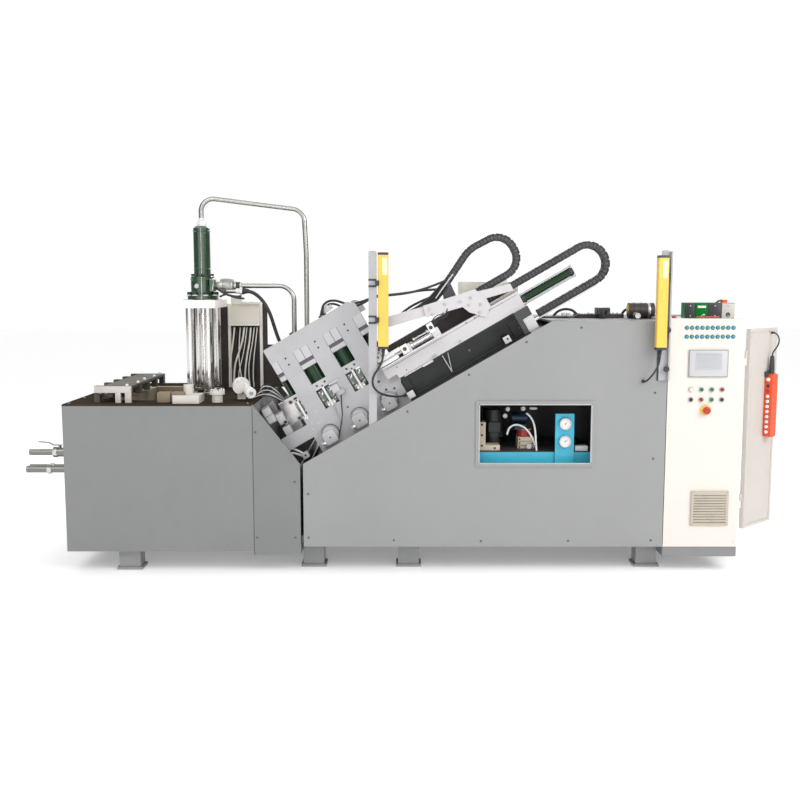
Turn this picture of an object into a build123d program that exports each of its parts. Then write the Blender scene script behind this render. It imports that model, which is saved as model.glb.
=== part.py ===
"""Hot chamber die casting machine with a furnace, a sloped bed and a control cabinet.

Millimetres. +Z is up, +X runs along the machine from the furnace to the cabinet and
the operator stands in front, on the -Y side. The origin is on the floor, under the
middle of the machine. Depths are measured from the front face of the housing.
"""

import os
from math import cos, pi, radians, sin, tan

from build123d import *

os.makedirs("parts", exist_ok=True)

# Lengths along the machine, from left to right
burner_reach = 263
furnace_length = 1055
wedge_length = 262
wedge_gap = 17
body_length = 2021
cabinet_width = 415
door_width = 320
door_open = 47.4

# Depth and heights
machine_depth = 1200
front_reach = 76
foot_height = 120
casing_height = 825
deck_thickness = 10
body_bottom = 148
body_corner_height = 620
bed_length = 1590
slope = 30
panel = 8
seat = 0.3

# Injector
injector_depth = 660
column_spread = 110
column_row = 280
column_radius = 24
injector_plate_height = 1476
injector_plate_thickness = 45
injector_plate_width = 220
injector_plate_depth = 430
cylinder_radius = 72
barrel_radius = 51
cylinder_height = 152
barrel_height = 293
rod_radius = 18
rod_play = 4
plunger_stroke = 120
pipe_radius = 15

# Die head
head_depth = 180
head_thickness = 40
head_height = 656
slot_width = 93
slot_pitch = 195.5
slot_count = 4
tie_bar_radius = 25

# Beam, arm and chains
beam_depth = 112
beam_thickness = 60
beam_length = 872
beam_height = 94
chain_height = 40
chain_pitch = 42
chain_width = 56
side_plate_thickness = 8

# Cabinet
cabinet_depth = 400
cabinet_top = 1427
cabinet_wall = 6
door_thickness = 22
door_gap = 6
hinge_radius = 6

# Places that follow from the sizes above
door_side = door_width * sin(radians(door_open))
total_length = (
    burner_reach + furnace_length + wedge_length + wedge_gap + body_length + cabinet_width + door_side
)
furnace_left = burner_reach - total_length / 2
furnace_right = furnace_left + furnace_length
wedge_right = furnace_right + wedge_length
body_left = wedge_right + wedge_gap
cabinet_left = body_left + body_length
cabinet_right = cabinet_left + cabinet_width
front_y = (front_reach - machine_depth) / 2
casing_top = foot_height + casing_height
deck_top = casing_top + deck_thickness
slope_run = bed_length * cos(radians(slope))
body_height = body_corner_height + bed_length * sin(radians(slope))
inner_depth = machine_depth - 2 * panel


def deep(depth):
    """Y of a point that lies this far behind the front face."""
    return front_y + depth


def front(depth=0):
    """Upright plane that faces the operator, with X along the machine and Y upwards."""
    return Plane(origin=(0, deep(depth), 0), x_dir=(1, 0, 0), z_dir=(0, -1, 0))


def bed(depth=0):
    """Upright plane turned to the bed: X runs up the slope, Y stands square to it."""
    uphill = (cos(radians(slope)), 0, sin(radians(slope)))
    return Plane(origin=(body_left, deep(depth), body_corner_height), x_dir=uphill, z_dir=(0, -1, 0))


def on_bed(along, above):
    """X and Z of a point given along the bed and above it."""
    x = body_left + along * cos(radians(slope)) - above * sin(radians(slope))
    z = body_corner_height + along * sin(radians(slope)) + above * cos(radians(slope))
    return x, z


def bed_point(along, depth, above):
    """World point given along the bed, behind the front face and above the bed."""
    x, z = on_bed(along, above)
    return x, deep(depth), z


def across(along):
    """Plane square to the bed at a place along it, with X across the machine."""
    x, z = on_bed(along, 0)
    uphill = (cos(radians(slope)), 0, sin(radians(slope)))
    return Plane(origin=(x, 0, z), x_dir=(0, 1, 0), z_dir=uphill)


def standing(above):
    """Plane parallel to the bed at a height above it, with X uphill and Y backwards."""
    x, z = on_bed(0, above)
    uphill = (cos(radians(slope)), 0, sin(radians(slope)))
    outwards = (-sin(radians(slope)), 0, cos(radians(slope)))
    return Plane(origin=(x, deep(0), z), x_dir=uphill, z_dir=outwards)


def face_height(x, above):
    """Height, over a place along the machine, of a face this far above the bed."""
    return body_corner_height + (x - body_left) * tan(radians(slope)) + above / cos(radians(slope))


def area(x0, x1, y0, y1, mode=Mode.ADD):
    """Rectangle between two corners, in the sketch that is open."""
    with Locations(((x0 + x1) / 2, (y0 + y1) / 2)):
        Rectangle(x1 - x0, y1 - y0, mode=mode)


def sleeve(depth, z, x0, x1, radius):
    """Round bar or pipe along X, added to the part that is open."""
    with Locations(Location(((x0 + x1) / 2, deep(depth), z), (0, 90, 0))):
        Cylinder(radius, x1 - x0)


def keep(builder, name):
    """Label a finished piece and write it."""
    builder.part.label = name
    export_step(builder.part, f"parts/{name}.step")


# Furnace: a closed casing with a pit for the pot, under a steel deck
pit_left = furnace_left + 215
pit_right = furnace_left + 935
pit_front = 200
pit_back = 1100
pit_depth = 620
brick = 60
bay_right = pit_left + 330
injector_x = furnace_left + 667
rod_hole = 45

with BuildPart() as furnace_casing:
    with BuildSketch(front()):
        area(furnace_left, furnace_right, foot_height, casing_top)
    extrude(amount=-machine_depth)
    with BuildSketch(Plane.XY.offset(casing_top)):
        area(pit_left, pit_right, deep(pit_front), deep(pit_back))
    extrude(amount=-pit_depth, mode=Mode.SUBTRACT)
keep(furnace_casing, "furnace_casing")

with BuildPart() as furnace_deck:
    with BuildSketch(Plane.XY.offset(casing_top)):
        area(furnace_left, furnace_right, deep(0), deep(machine_depth))
        area(pit_left, bay_right, deep(pit_front), deep(pit_back), Mode.SUBTRACT)
        with Locations((injector_x, deep(injector_depth))):
            Circle(rod_hole, mode=Mode.SUBTRACT)
    extrude(amount=deck_thickness)
keep(furnace_deck, "furnace_deck")

with BuildPart() as furnace_lining:
    with BuildSketch(Plane.XY.offset(casing_top - pit_depth)):
        area(pit_left, pit_right, deep(pit_front), deep(pit_back))
        area(
            pit_left + brick,
            pit_right - brick,
            deep(pit_front + brick),
            deep(pit_back - brick),
            Mode.SUBTRACT,
        )
    extrude(amount=pit_depth)
keep(furnace_lining, "furnace_lining")

pot_wall = 20
pot_height = 480
pot_margin = 30
pot_corner = 120
pot_length = pit_right - pit_left - 2 * (brick + pot_margin)
pot_width = pit_back - pit_front - 2 * (brick + pot_margin)

with BuildPart() as crucible:
    with BuildSketch(Plane.XY.offset(casing_top - pit_depth)):
        with Locations(((pit_left + pit_right) / 2, deep((pit_front + pit_back) / 2))):
            RectangleRounded(pot_length, pot_width, pot_corner)
    extrude(amount=pot_height)
    offset(amount=-pot_wall, openings=crucible.faces().sort_by(Axis.Z)[-1])
keep(crucible, "crucible")

# Feet: two under the furnace and six under the housing, each a post on a base plate
foot_width = 120
foot_depth = 100
foot_plate = 14
foot_plate_margin = 12
furnace_foot_inset = 60
body_foot_inset = 120
body_foot_offsets = (45, 590, body_length - 62)

with BuildPart() as machine_feet:
    places = [(furnace_left + 335, furnace_foot_inset, foot_height)]
    places += [(body_left + offset_x, body_foot_inset, body_bottom) for offset_x in body_foot_offsets]
    for x, inset, height in places:
        for row in (inset + foot_depth / 2, machine_depth - inset - foot_depth / 2):
            with BuildSketch(Plane.XY):
                with Locations((x, deep(row))):
                    Rectangle(foot_width + 2 * foot_plate_margin, foot_depth + 2 * foot_plate_margin)
            extrude(amount=foot_plate)
            with BuildSketch(Plane.XY.offset(foot_plate)):
                with Locations((x, deep(row))):
                    Rectangle(foot_width, foot_depth)
            extrude(amount=height - foot_plate)
keep(machine_feet, "machine_feet")

# Sheet cover between furnace and housing, open at the top under the dies
wedge_bottom = foot_height - 20
wedge_end_top = body_corner_height - 20
link_bottom = body_bottom + 20
link_height = 36
link_inset = 30

with BuildPart() as wedge_cover:
    for depth in (0, machine_depth - panel):
        with BuildSketch(front(depth)):
            Polygon(
                (furnace_right, wedge_bottom),
                (wedge_right, wedge_bottom),
                (wedge_right, body_corner_height),
                (furnace_right, deck_top),
                align=None,
            )
        extrude(amount=-panel)
    with BuildSketch(front(panel)):
        area(furnace_right, wedge_right, wedge_bottom, wedge_bottom + panel)
        area(wedge_right - panel, wedge_right, wedge_bottom, wedge_end_top)
    extrude(amount=-inner_depth)
    with BuildSketch(front(link_inset)):
        area(wedge_right - panel, body_left, link_bottom, link_bottom + link_height)
    extrude(amount=-(machine_depth - 2 * link_inset))
keep(wedge_cover, "wedge_cover")

# Heater frames in a row over the left part of the pit, joined by heater plates
frame_count = 5
frame_left = pit_left - 60
frame_span = 210
frame_height = 92
frame_bar = 34
frame_leg = 30
frame_middle = 75
frame_drop = 62
frame_depth = 40
frame_pitch = 190
frame_front = 90
heater_plate_thickness = 14
frame_top = deck_top + frame_height

with BuildPart() as heater_frames:
    for i in range(frame_count):
        with BuildSketch(front(frame_front + i * frame_pitch)):
            area(frame_left, frame_left + frame_span, frame_top - frame_bar, frame_top)
            area(frame_left, frame_left + frame_leg, deck_top, frame_top)
            for leg in (frame_middle, frame_span - frame_leg):
                area(frame_left + leg, frame_left + leg + frame_leg, frame_top - frame_drop, frame_top)
        extrude(amount=-frame_depth)
    for i in range(frame_count - 1):
        with BuildSketch(front(frame_front + i * frame_pitch + frame_depth)):
            area(
                frame_left + frame_leg + 20,
                frame_left + frame_span,
                frame_top - heater_plate_thickness,
                frame_top,
            )
        extrude(amount=frame_depth - frame_pitch)
keep(heater_frames, "heater_frames")

# Fittings on the deck in front of the injector
port_left = injector_x - 58
port_width = 147
port_height = 45
port_front = 30
port_length = 150
port_stub_x = port_left + 75
port_stub_radius = 28
port_stub_height = 55
flange_x = port_left + 235
flange_depth = 110
flange_radius = 42
flange_neck_radius = 30
flange_thickness = 22
fitting_x = injector_x + 290
fitting_z = deck_top + 75
fitting_depth = 250
fitting_half = 22

with BuildPart() as port_fittings:
    with BuildSketch(front(port_front)):
        area(port_left, port_left + port_width, deck_top, deck_top + port_height)
    extrude(amount=-port_length)
    with BuildSketch(Plane.XY.offset(deck_top + port_height)):
        with Locations((port_stub_x, deep(port_front + port_length / 2))):
            Circle(port_stub_radius)
    extrude(amount=port_stub_height)
    with BuildSketch(Plane.XY.offset(deck_top)):
        with Locations((flange_x, deep(flange_depth))):
            Circle(flange_neck_radius)
    extrude(amount=port_height)
    with BuildSketch(Plane.XY.offset(deck_top + port_height)):
        with Locations((flange_x, deep(flange_depth))):
            Circle(flange_radius)
    extrude(amount=flange_thickness)
    for start, end, radius in ((-34, -84, 33), (0, -50, 28), (0, 24, 50)):
        with BuildSketch(front(fitting_depth + start)):
            with Locations((fitting_x, fitting_z)):
                Circle(radius)
        extrude(amount=start - end)
    with BuildSketch(front(fitting_depth)):
        area(fitting_x - fitting_half, fitting_x + fitting_half, deck_top, fitting_z)
    extrude(amount=-24)
keep(port_fittings, "port_fittings")

# Gas pipes and the ball valve at the left end
burner_depth = 150
gas_pipe_height = 662
burner_pipe_height = 563
burner_pipe_gap = 50
gas_pipe_radius = 17
burner_pipe_radius = 20
valve_body_radius = 26
valve_body_half = 32
stem_x = furnace_left - 70
stem_radius = 9
stem_height = 38

with BuildPart() as burner_pipes:
    sleeve(burner_depth, gas_pipe_height, furnace_left - burner_reach + 20, furnace_left, gas_pipe_radius)
    valve_start = stem_x - valve_body_half
    sleeve(burner_depth, gas_pipe_height, valve_start, valve_start + 2 * valve_body_half, valve_body_radius)
    with BuildSketch(Plane.XY.offset(gas_pipe_height)):
        with Locations((stem_x, deep(burner_depth))):
            Circle(stem_radius)
    extrude(amount=stem_height)
    for i in range(2):
        depth = burner_depth + i * burner_pipe_gap
        sleeve(depth, burner_pipe_height, furnace_left - burner_reach, furnace_left, burner_pipe_radius)
keep(burner_pipes, "burner_pipes")

lever_length = 120
lever_width = 18
lever_thickness = 5
lever_rise = 20
lever_z = gas_pipe_height + stem_height + seat

with BuildPart() as valve_lever:
    with BuildSketch(front(burner_depth - lever_width / 2)):
        Polygon(
            (stem_x + 12, lever_z),
            (stem_x - 35, lever_z),
            (stem_x - 60, lever_z + lever_rise * 0.7),
            (stem_x - lever_length, lever_z + lever_rise),
            (stem_x - lever_length, lever_z + lever_rise + lever_thickness),
            (stem_x - 61, lever_z + lever_rise * 0.7 + lever_thickness),
            (stem_x - 36, lever_z + lever_thickness),
            (stem_x + 12, lever_z + lever_thickness),
            align=None,
        )
    extrude(amount=-lever_width)
keep(valve_lever, "valve_lever")

# Injector: four columns carry a plate with the shot cylinder on it
plate_top = injector_plate_height + injector_plate_thickness
nut_radius = column_radius + 11
nut_height = 26

with BuildPart() as injector_frame:
    with BuildSketch(Plane.XY.offset(deck_top)):
        with Locations((injector_x, deep(injector_depth))):
            with GridLocations(column_spread, column_row, 2, 2):
                Circle(column_radius)
    extrude(amount=injector_plate_height - deck_top)
    with BuildSketch(Plane.XY.offset(deck_top)):
        with Locations((injector_x, deep(injector_depth))):
            with GridLocations(column_spread, column_row, 2, 2):
                RegularPolygon(nut_radius, 6)
    extrude(amount=nut_height)
    with BuildSketch(Plane.XY.offset(injector_plate_height)):
        with Locations((injector_x, deep(injector_depth))):
            Rectangle(injector_plate_width, injector_plate_depth)
            Circle(rod_radius + rod_play, mode=Mode.SUBTRACT)
    extrude(amount=injector_plate_thickness)
keep(injector_frame, "injector_frame")

piston_height = 30
bore_end = 70
bore_depth = plunger_stroke + piston_height + bore_end
cylinder_flange_radius = cylinder_radius + 22
cylinder_flange_thickness = 26
port_boss_radius = 24
port_boss_height = 32
barrel_edge = 12
cylinder_head = plate_top + cylinder_height + barrel_height + port_boss_height

with BuildPart() as shot_cylinder:
    with BuildSketch(Plane(origin=(injector_x, deep(injector_depth), 0), x_dir=(1, 0, 0), z_dir=(0, -1, 0))):
        Polygon(
            (0, plate_top),
            (cylinder_flange_radius, plate_top),
            (cylinder_flange_radius, plate_top + cylinder_flange_thickness),
            (cylinder_radius, plate_top + cylinder_flange_thickness),
            (cylinder_radius, plate_top + cylinder_height - barrel_edge),
            (barrel_radius, plate_top + cylinder_height),
            (barrel_radius, cylinder_head - port_boss_height - barrel_edge),
            (barrel_radius - barrel_edge, cylinder_head - port_boss_height),
            (port_boss_radius, cylinder_head - port_boss_height),
            (port_boss_radius, cylinder_head),
            (0, cylinder_head),
            align=None,
        )
    revolve(axis=Axis((injector_x, deep(injector_depth), 0), (0, 0, 1)))
    with BuildSketch(Plane.XY.offset(plate_top)):
        with Locations((injector_x, deep(injector_depth))):
            Circle(rod_radius + rod_play)
    extrude(amount=bore_depth, mode=Mode.SUBTRACT)
keep(shot_cylinder, "shot_cylinder")

coupling_height = 70
coupling_radius = 30
coupling_gap = 36
rod_top = plate_top + bore_depth - piston_height
rod_bottom = casing_top - 160

with BuildPart() as plunger_rod:
    with BuildSketch(Plane.XY.offset(rod_bottom)):
        with Locations((injector_x, deep(injector_depth))):
            Circle(rod_radius)
    extrude(amount=rod_top - rod_bottom)
    with BuildSketch(Plane.XY.offset(injector_plate_height - coupling_gap - coupling_height)):
        with Locations((injector_x, deep(injector_depth))):
            Circle(coupling_radius)
    extrude(amount=coupling_height)
    with BuildSketch(Plane.XY.offset(rod_top - piston_height)):
        with Locations((injector_x, deep(injector_depth))):
            Circle(rod_radius + rod_play - seat)
    extrude(amount=piston_height)
keep(plunger_rod, "plunger_rod")

# Fixed platen of the die head, with tie bars and bosses for the pressure pipes
bed_plate_top = -55
platen_front = 250
platen_back = machine_depth - platen_front
platen_start = 92
platen_end = 300
platen_top = 520
rear_platen_start = 560
boss_radius = 26
boss_height = 70
hose_boss_radius = 16
high_riser_x = injector_x + 636
low_riser_x = injector_x + 558
hose_x = injector_x + 500
tie_levels = (40, 430)
tie_inset = 90

with BuildPart() as fixed_platen:
    with BuildSketch(bed(platen_front)):
        area(platen_start, platen_end, bed_plate_top, platen_top)
    extrude(amount=platen_front - platen_back)
    for x, radius in ((high_riser_x, boss_radius), (low_riser_x, boss_radius), (hose_x, hose_boss_radius)):
        with BuildSketch(Plane.XY.offset(face_height(x, platen_top) - boss_height / 2)):
            with Locations((x, deep(injector_depth))):
                Circle(radius)
        extrude(amount=boss_height * 1.5)
    with BuildSketch(across(platen_end)):
        for above in tie_levels:
            for depth in (platen_front + tie_inset, platen_back - tie_inset):
                with Locations((deep(depth), above)):
                    Circle(tie_bar_radius)
    extrude(amount=rear_platen_start - platen_end)
keep(fixed_platen, "fixed_platen")

# Pressure pipes from the shot cylinder to the platen, with a check valve in the lower one
valve_x = injector_x + 110
valve_z = plate_top + 86
valve_length = 96
valve_radius = 43
valve_neck_radius = 26
pipe_nut_radius = 21
pipe_nut_length = 34
hose_port_drop = 32
hose_port_radius = 14
hose_port_end = valve_x + 140

with BuildPart() as pressure_pipes:
    with BuildLine(front(injector_depth)) as high_route:
        FilletPolyline(
            (injector_x, cylinder_head),
            (injector_x, cylinder_head + 142),
            (high_riser_x - 12, cylinder_head + 65),
            (high_riser_x, cylinder_head - 200),
            (high_riser_x, face_height(high_riser_x, platen_top) + boss_height),
            radius=[75, 80, 300],
        )
    with BuildSketch(Plane(origin=high_route.line @ 0, z_dir=high_route.line % 0)):
        Circle(pipe_radius)
    sweep(path=high_route.line)
    with BuildLine(front(injector_depth)) as low_route:
        FilletPolyline(
            (valve_x + valve_length, valve_z),
            (low_riser_x, valve_z),
            (low_riser_x, face_height(low_riser_x, platen_top) + boss_height),
            radius=90,
        )
    with BuildSketch(Plane(origin=low_route.line @ 0, z_dir=low_route.line % 0)):
        Circle(pipe_radius)
    sweep(path=low_route.line)
    sleeve(injector_depth, valve_z, injector_x + cylinder_radius, valve_x + valve_length, valve_neck_radius)
    sleeve(injector_depth, valve_z, valve_x, valve_x + valve_length - 20, valve_radius)
    pipe_nut_start = valve_x + valve_length
    sleeve(injector_depth, valve_z, pipe_nut_start, pipe_nut_start + pipe_nut_length, pipe_nut_radius)
    sleeve(
        injector_depth - 2 * hose_port_radius,
        valve_z - hose_port_drop,
        valve_x + 40,
        hose_port_end,
        hose_port_radius,
    )
keep(pressure_pipes, "pressure_pipes")

# Junction box on two posts behind the injector
post_size = 18
junction_depth = injector_depth + 265
junction_left = injector_x + 103
junction_span = 203
junction_top = plate_top - 29
junction_height = 138
junction_box_depth = 40
junction_box_inset = 14

with BuildPart() as junction_frame:
    with BuildSketch(Plane.XY.offset(deck_top)):
        for x in (junction_left, junction_left + junction_span):
            area(x, x + post_size, deep(junction_depth), deep(junction_depth + post_size))
    extrude(amount=junction_top - deck_top)
    with BuildSketch(front(junction_depth)):
        area(junction_left, junction_left + junction_span + post_size, junction_top - post_size, junction_top)
    extrude(amount=-post_size)
    with BuildSketch(front(junction_depth - junction_box_depth)):
        area(
            junction_left + junction_box_inset,
            junction_left + junction_span + post_size - junction_box_inset,
            junction_top - junction_height,
            junction_top,
        )
    extrude(amount=-junction_box_depth)
keep(junction_frame, "junction_frame")

# Upright sheet behind the junction box and the injector, where the leads run
wire_panel_left = injector_x - 146
wire_panel_step = injector_x + 354
wire_panel_right = injector_x + 482
wire_panel_low = 275
wire_panel_thickness = 8

with BuildPart() as wire_panel:
    with BuildSketch(front(junction_depth + post_size)):
        area(wire_panel_left, wire_panel_step, deck_top, junction_top)
        area(wire_panel_step, wire_panel_right, deck_top, deck_top + wire_panel_low)
    extrude(amount=-wire_panel_thickness)
keep(wire_panel, "wire_panel")

# Housing: plates on a floor frame, with a framed window in the front
window_left = body_left + 984
window_right = window_left + 617
window_bottom = 626
window_top = 952
rim_width = 22
rim_thickness = 6
crown_left = body_left + slope_run
deck_plate = 10
deck_underside = body_height - deck_plate
grommet_x = cabinet_left - 137
grommet_z = 1084
grommet_radius = 11
grommet_thickness = 5


def housing_outline(right):
    """Corners of a side panel: the bed's slope cuts its upper left corner."""
    return [
        (body_left, body_bottom),
        (right, body_bottom),
        (right, body_height),
        (crown_left, body_height),
        (body_left, body_corner_height),
    ]


with BuildPart() as front_panel:
    with BuildSketch(front()):
        Polygon(*housing_outline(cabinet_left), align=None)
        area(window_left, window_right, window_bottom, window_top, Mode.SUBTRACT)
    extrude(amount=-panel)
    with BuildSketch(front()):
        area(
            window_left - rim_width,
            window_right + rim_width,
            window_bottom - rim_width,
            window_top + rim_width,
        )
        area(window_left, window_right, window_bottom, window_top, Mode.SUBTRACT)
    extrude(amount=rim_thickness)
    with BuildSketch(front()):
        with Locations((grommet_x, grommet_z)):
            Circle(grommet_radius)
    extrude(amount=grommet_thickness)
keep(front_panel, "front_panel")

with BuildPart() as back_panel:
    with BuildSketch(front(machine_depth - panel)):
        Polygon(*housing_outline(cabinet_right), align=None)
    extrude(amount=-panel)
keep(back_panel, "back_panel")

floor_thickness = 12
floor_top = body_bottom + floor_thickness
low_end_top = body_corner_height - 60

with BuildPart() as housing_frame:
    with BuildSketch(Plane.XY.offset(body_bottom)):
        area(body_left, cabinet_left, deep(panel), deep(machine_depth - panel))
        area(cabinet_left, cabinet_right, deep(cabinet_depth), deep(machine_depth - panel))
    extrude(amount=floor_thickness)
    with BuildSketch(Plane.XY.offset(floor_top)):
        area(body_left, body_left + panel, deep(panel), deep(machine_depth - panel))
    extrude(amount=low_end_top - floor_top)
    with BuildSketch(Plane.XY.offset(floor_top)):
        area(cabinet_right - panel, cabinet_right, deep(cabinet_depth), deep(machine_depth - panel))
        area(cabinet_left - panel, cabinet_left, deep(panel), deep(cabinet_depth))
    extrude(amount=deck_underside - floor_top)
    with BuildSketch(Plane.XY.offset(deck_underside)):
        area(crown_left, cabinet_left, deep(panel), deep(machine_depth - panel))
        area(cabinet_left, cabinet_right, deep(cabinet_depth), deep(machine_depth - panel))
    extrude(amount=deck_plate)
keep(housing_frame, "housing_frame")

bed_plate_thickness = 16
bed_plate_start = 10
bed_plate_rise = deck_underside - body_corner_height - bed_plate_top * cos(radians(slope))
bed_plate_end = bed_plate_rise / sin(radians(slope))

with BuildPart() as bed_plate:
    with BuildSketch(bed(panel)):
        area(bed_plate_start, bed_plate_end, bed_plate_top - bed_plate_thickness, bed_plate_top)
    extrude(amount=-inner_depth)
keep(bed_plate, "bed_plate")

# What shows through the window: tank, gauges, motor, pump and valves
tank_top = 668
tank_front = 110
tank_depth = 560

with BuildPart() as oil_tank:
    with BuildSketch(front(tank_front)):
        area(window_left - 60, window_right + 40, floor_top, tank_top)
    extrude(amount=-tank_depth)
keep(oil_tank, "oil_tank")

gauge_panel_left = window_left + 436
gauge_panel_width = 106
gauge_panel_right = gauge_panel_left + gauge_panel_width
gauge_panel_thickness = 14
gauge_panel_top = 890
gauge_panel_lap = 60
gauge_radius = 36
gauge_length = 20
gauge_heights = (835, 735)

with BuildPart() as gauge_panel:
    with BuildSketch(front(tank_front - gauge_panel_thickness)):
        area(gauge_panel_left, gauge_panel_right, tank_top - gauge_panel_lap, gauge_panel_top)
    extrude(amount=-gauge_panel_thickness)
    with BuildSketch(front(tank_front - gauge_panel_thickness)):
        for z in gauge_heights:
            with Locations(((gauge_panel_left + gauge_panel_right) / 2, z)):
                Circle(gauge_radius)
    extrude(amount=gauge_length)
keep(gauge_panel, "gauge_panel")

manifold_left = window_left + 6
manifold_depth = 150
manifold_size = 90
valve_stack_left = window_left + 240
valve_stack_width = 92
valve_stack_height = 70
filter_radius = 42
filter_height = 44

with BuildPart() as pump_valves:
    with BuildSketch(front(manifold_depth)):
        area(manifold_left, manifold_left + 122, tank_top, tank_top + 34)
        area(manifold_left, manifold_left + 40, tank_top, tank_top + 166)
    extrude(amount=-manifold_size)
    with BuildSketch(front(220)):
        area(valve_stack_left, valve_stack_left + valve_stack_width, tank_top, tank_top + valve_stack_height)
    extrude(amount=-100)
    with BuildSketch(Plane.XY.offset(tank_top + valve_stack_height)):
        with Locations((valve_stack_left + 40, deep(270))):
            Circle(filter_radius)
    extrude(amount=filter_height)
keep(pump_valves, "pump_valves")

motor_x = window_left + 106
motor_depth = 330
motor_radius = 58
motor_neck = 60
motor_height = 220

with BuildPart() as pump_motor:
    with BuildSketch(Plane.XY.offset(tank_top)):
        with Locations((motor_x, deep(motor_depth))):
            Circle(motor_radius - 14)
    extrude(amount=motor_neck)
    with BuildSketch(Plane.XY.offset(tank_top + motor_neck)):
        with Locations((motor_x, deep(motor_depth))):
            Circle(motor_radius)
    extrude(amount=motor_height - motor_neck)
keep(pump_motor, "pump_motor")

# Hydraulics on the deck
deck_valve_x = crown_left + 340
deck_valve_depth = 480
subplate_height = 24
deck_valve_height = 62
deck_motor_radius = 46
deck_motor_depth = 460
cap_radius = 20
cap_depth = 300

with BuildPart() as deck_hydraulics:
    with BuildSketch(Plane.XY.offset(body_height)):
        area(deck_valve_x - 120, deck_valve_x + 160, deep(deck_valve_depth), deep(deck_valve_depth + 140))
    extrude(amount=subplate_height)
    with BuildSketch(Plane.XY.offset(body_height)):
        area(deck_valve_x, deck_valve_x + 40, deep(deck_valve_depth), deep(deck_valve_depth + 80))
    extrude(amount=deck_valve_height)
    with BuildSketch(Plane.XY.offset(body_height + subplate_height)):
        with Locations((deck_valve_x + 70, deep(deck_valve_depth + 40))):
            Circle(20)
    extrude(amount=deck_valve_height - subplate_height, taper=18)
    sleeve(
        deck_motor_depth,
        body_height + deck_motor_radius,
        deck_valve_x + 180,
        deck_valve_x + 330,
        deck_motor_radius,
    )
    with BuildSketch(front(cap_depth)):
        with Locations((deck_valve_x + 200, body_height + cap_radius)):
            Circle(cap_radius)
    extrude(amount=-2 * cap_radius)
keep(deck_hydraulics, "deck_hydraulics")

# Slotted side plates of the die head, joined across its top
head_left = 103
head_right = 693
first_slot = head_left - 54
slot_top = 563
slot_bottom = 190
head_bevel = 34
back_head_depth = machine_depth - head_depth - head_thickness
crossbar_thickness = 40
crossbar_tops = (640, 615)
loop_x = body_left + 90
loop_depth = 300
loop_fitting_radius = 12
loop_fitting_foot = face_height(loop_x, crossbar_tops[0]) - crossbar_thickness / 2
loop_fitting_length = 49
loop_fitting_top = loop_fitting_foot + loop_fitting_length
loop_along = (loop_x - body_left + crossbar_tops[0] * sin(radians(slope))) / cos(radians(slope))
die_rail_start = -68
die_rail_bottom = 85
die_rail_top = 165


def slot_start(i):
    """Place of a slot's lower edge along the bed."""
    return first_slot + i * slot_pitch


with BuildPart() as head_plates:
    for depth in (head_depth, back_head_depth):
        with BuildSketch(bed(depth)):
            Polygon(
                (head_left, bed_plate_top),
                (head_right, bed_plate_top),
                (head_right, head_height - head_bevel),
                (head_right - head_bevel, head_height),
                (head_left, head_height),
                align=None,
            )
            for i in range(slot_count):
                area(slot_start(i), slot_start(i) + slot_width, slot_bottom, slot_top, Mode.SUBTRACT)
        extrude(amount=-head_thickness)
    with BuildSketch(bed(head_depth + head_thickness)):
        area(loop_along - 85, loop_along + 65, crossbar_tops[0] - crossbar_thickness, crossbar_tops[0])
        area(head_right - 143, head_right - 53, crossbar_tops[1] - crossbar_thickness, crossbar_tops[1])
    extrude(amount=head_depth + head_thickness - back_head_depth)
    with BuildSketch(Plane.XY.offset(loop_fitting_foot)):
        with Locations((loop_x, deep(loop_depth))):
            Circle(loop_fitting_radius)
    extrude(amount=loop_fitting_length)
    with BuildSketch(bed(head_depth)):
        area(die_rail_start, head_left, die_rail_bottom, die_rail_top)
    extrude(amount=-head_thickness)
keep(head_plates, "head_plates")

# Clamp units in the slots: guide strips, a cylinder and a clamp head each
strip_height = 58
strip_drop = 10
band_height = 22
holder_height = 30
unit_height = 103
unit_drop = 12
unit_back = 248
clamp_height = 44
clamp_drop = 4
clamp_depth = 50
clamp_rod_radius = 8
clamp_foot_width = 50
clamp_foot_height = 28
unit_top = slot_top - strip_height - band_height - holder_height
clamp_top = unit_top - unit_height
clamp_bottom = clamp_top - clamp_height

with BuildPart() as slot_guides:
    for i in range(slot_count):
        left = max(slot_start(i), head_left)
        right = min(slot_start(i) + slot_width, head_right)
        with BuildSketch(bed(head_depth)):
            area(left, right, slot_top - strip_height, slot_top)
        extrude(amount=-head_thickness)
        with BuildSketch(bed(head_depth + strip_drop)):
            area(left, right, unit_top, slot_top - strip_height)
        extrude(amount=strip_drop - head_thickness)
keep(slot_guides, "slot_guides")

with BuildPart() as clamp_cylinders:
    for i in range(slot_count):
        left = max(slot_start(i), head_left)
        right = min(slot_start(i) + slot_width, head_right)
        with BuildSketch(standing(clamp_top)):
            with Locations((slot_start(i) + slot_width / 2, head_depth + unit_drop + slot_width / 2)):
                Circle(slot_width / 2)
            area(left, right, head_depth, unit_back, Mode.INTERSECT)
        extrude(amount=unit_height)
keep(clamp_cylinders, "clamp_cylinders")

with BuildPart() as clamp_heads:
    for i in range(slot_count):
        left = max(slot_start(i), head_left)
        right = min(slot_start(i) + slot_width, head_right)
        middle = (left + right) / 2
        with BuildSketch(bed(head_depth + clamp_drop)):
            area(left, right, clamp_bottom, clamp_top)
        extrude(amount=-clamp_depth)
        with BuildSketch(standing(slot_bottom)):
            with Locations((middle, head_depth + head_thickness / 2)):
                Circle(clamp_rod_radius)
        extrude(amount=clamp_bottom - slot_bottom)
        foot_half = min(clamp_foot_width, right - left) / 2
        with BuildSketch(bed(head_depth + clamp_drop)):
            area(middle - foot_half, middle + foot_half, slot_bottom, slot_bottom + clamp_foot_height)
        extrude(amount=clamp_drop - head_thickness)
keep(clamp_heads, "clamp_heads")

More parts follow.
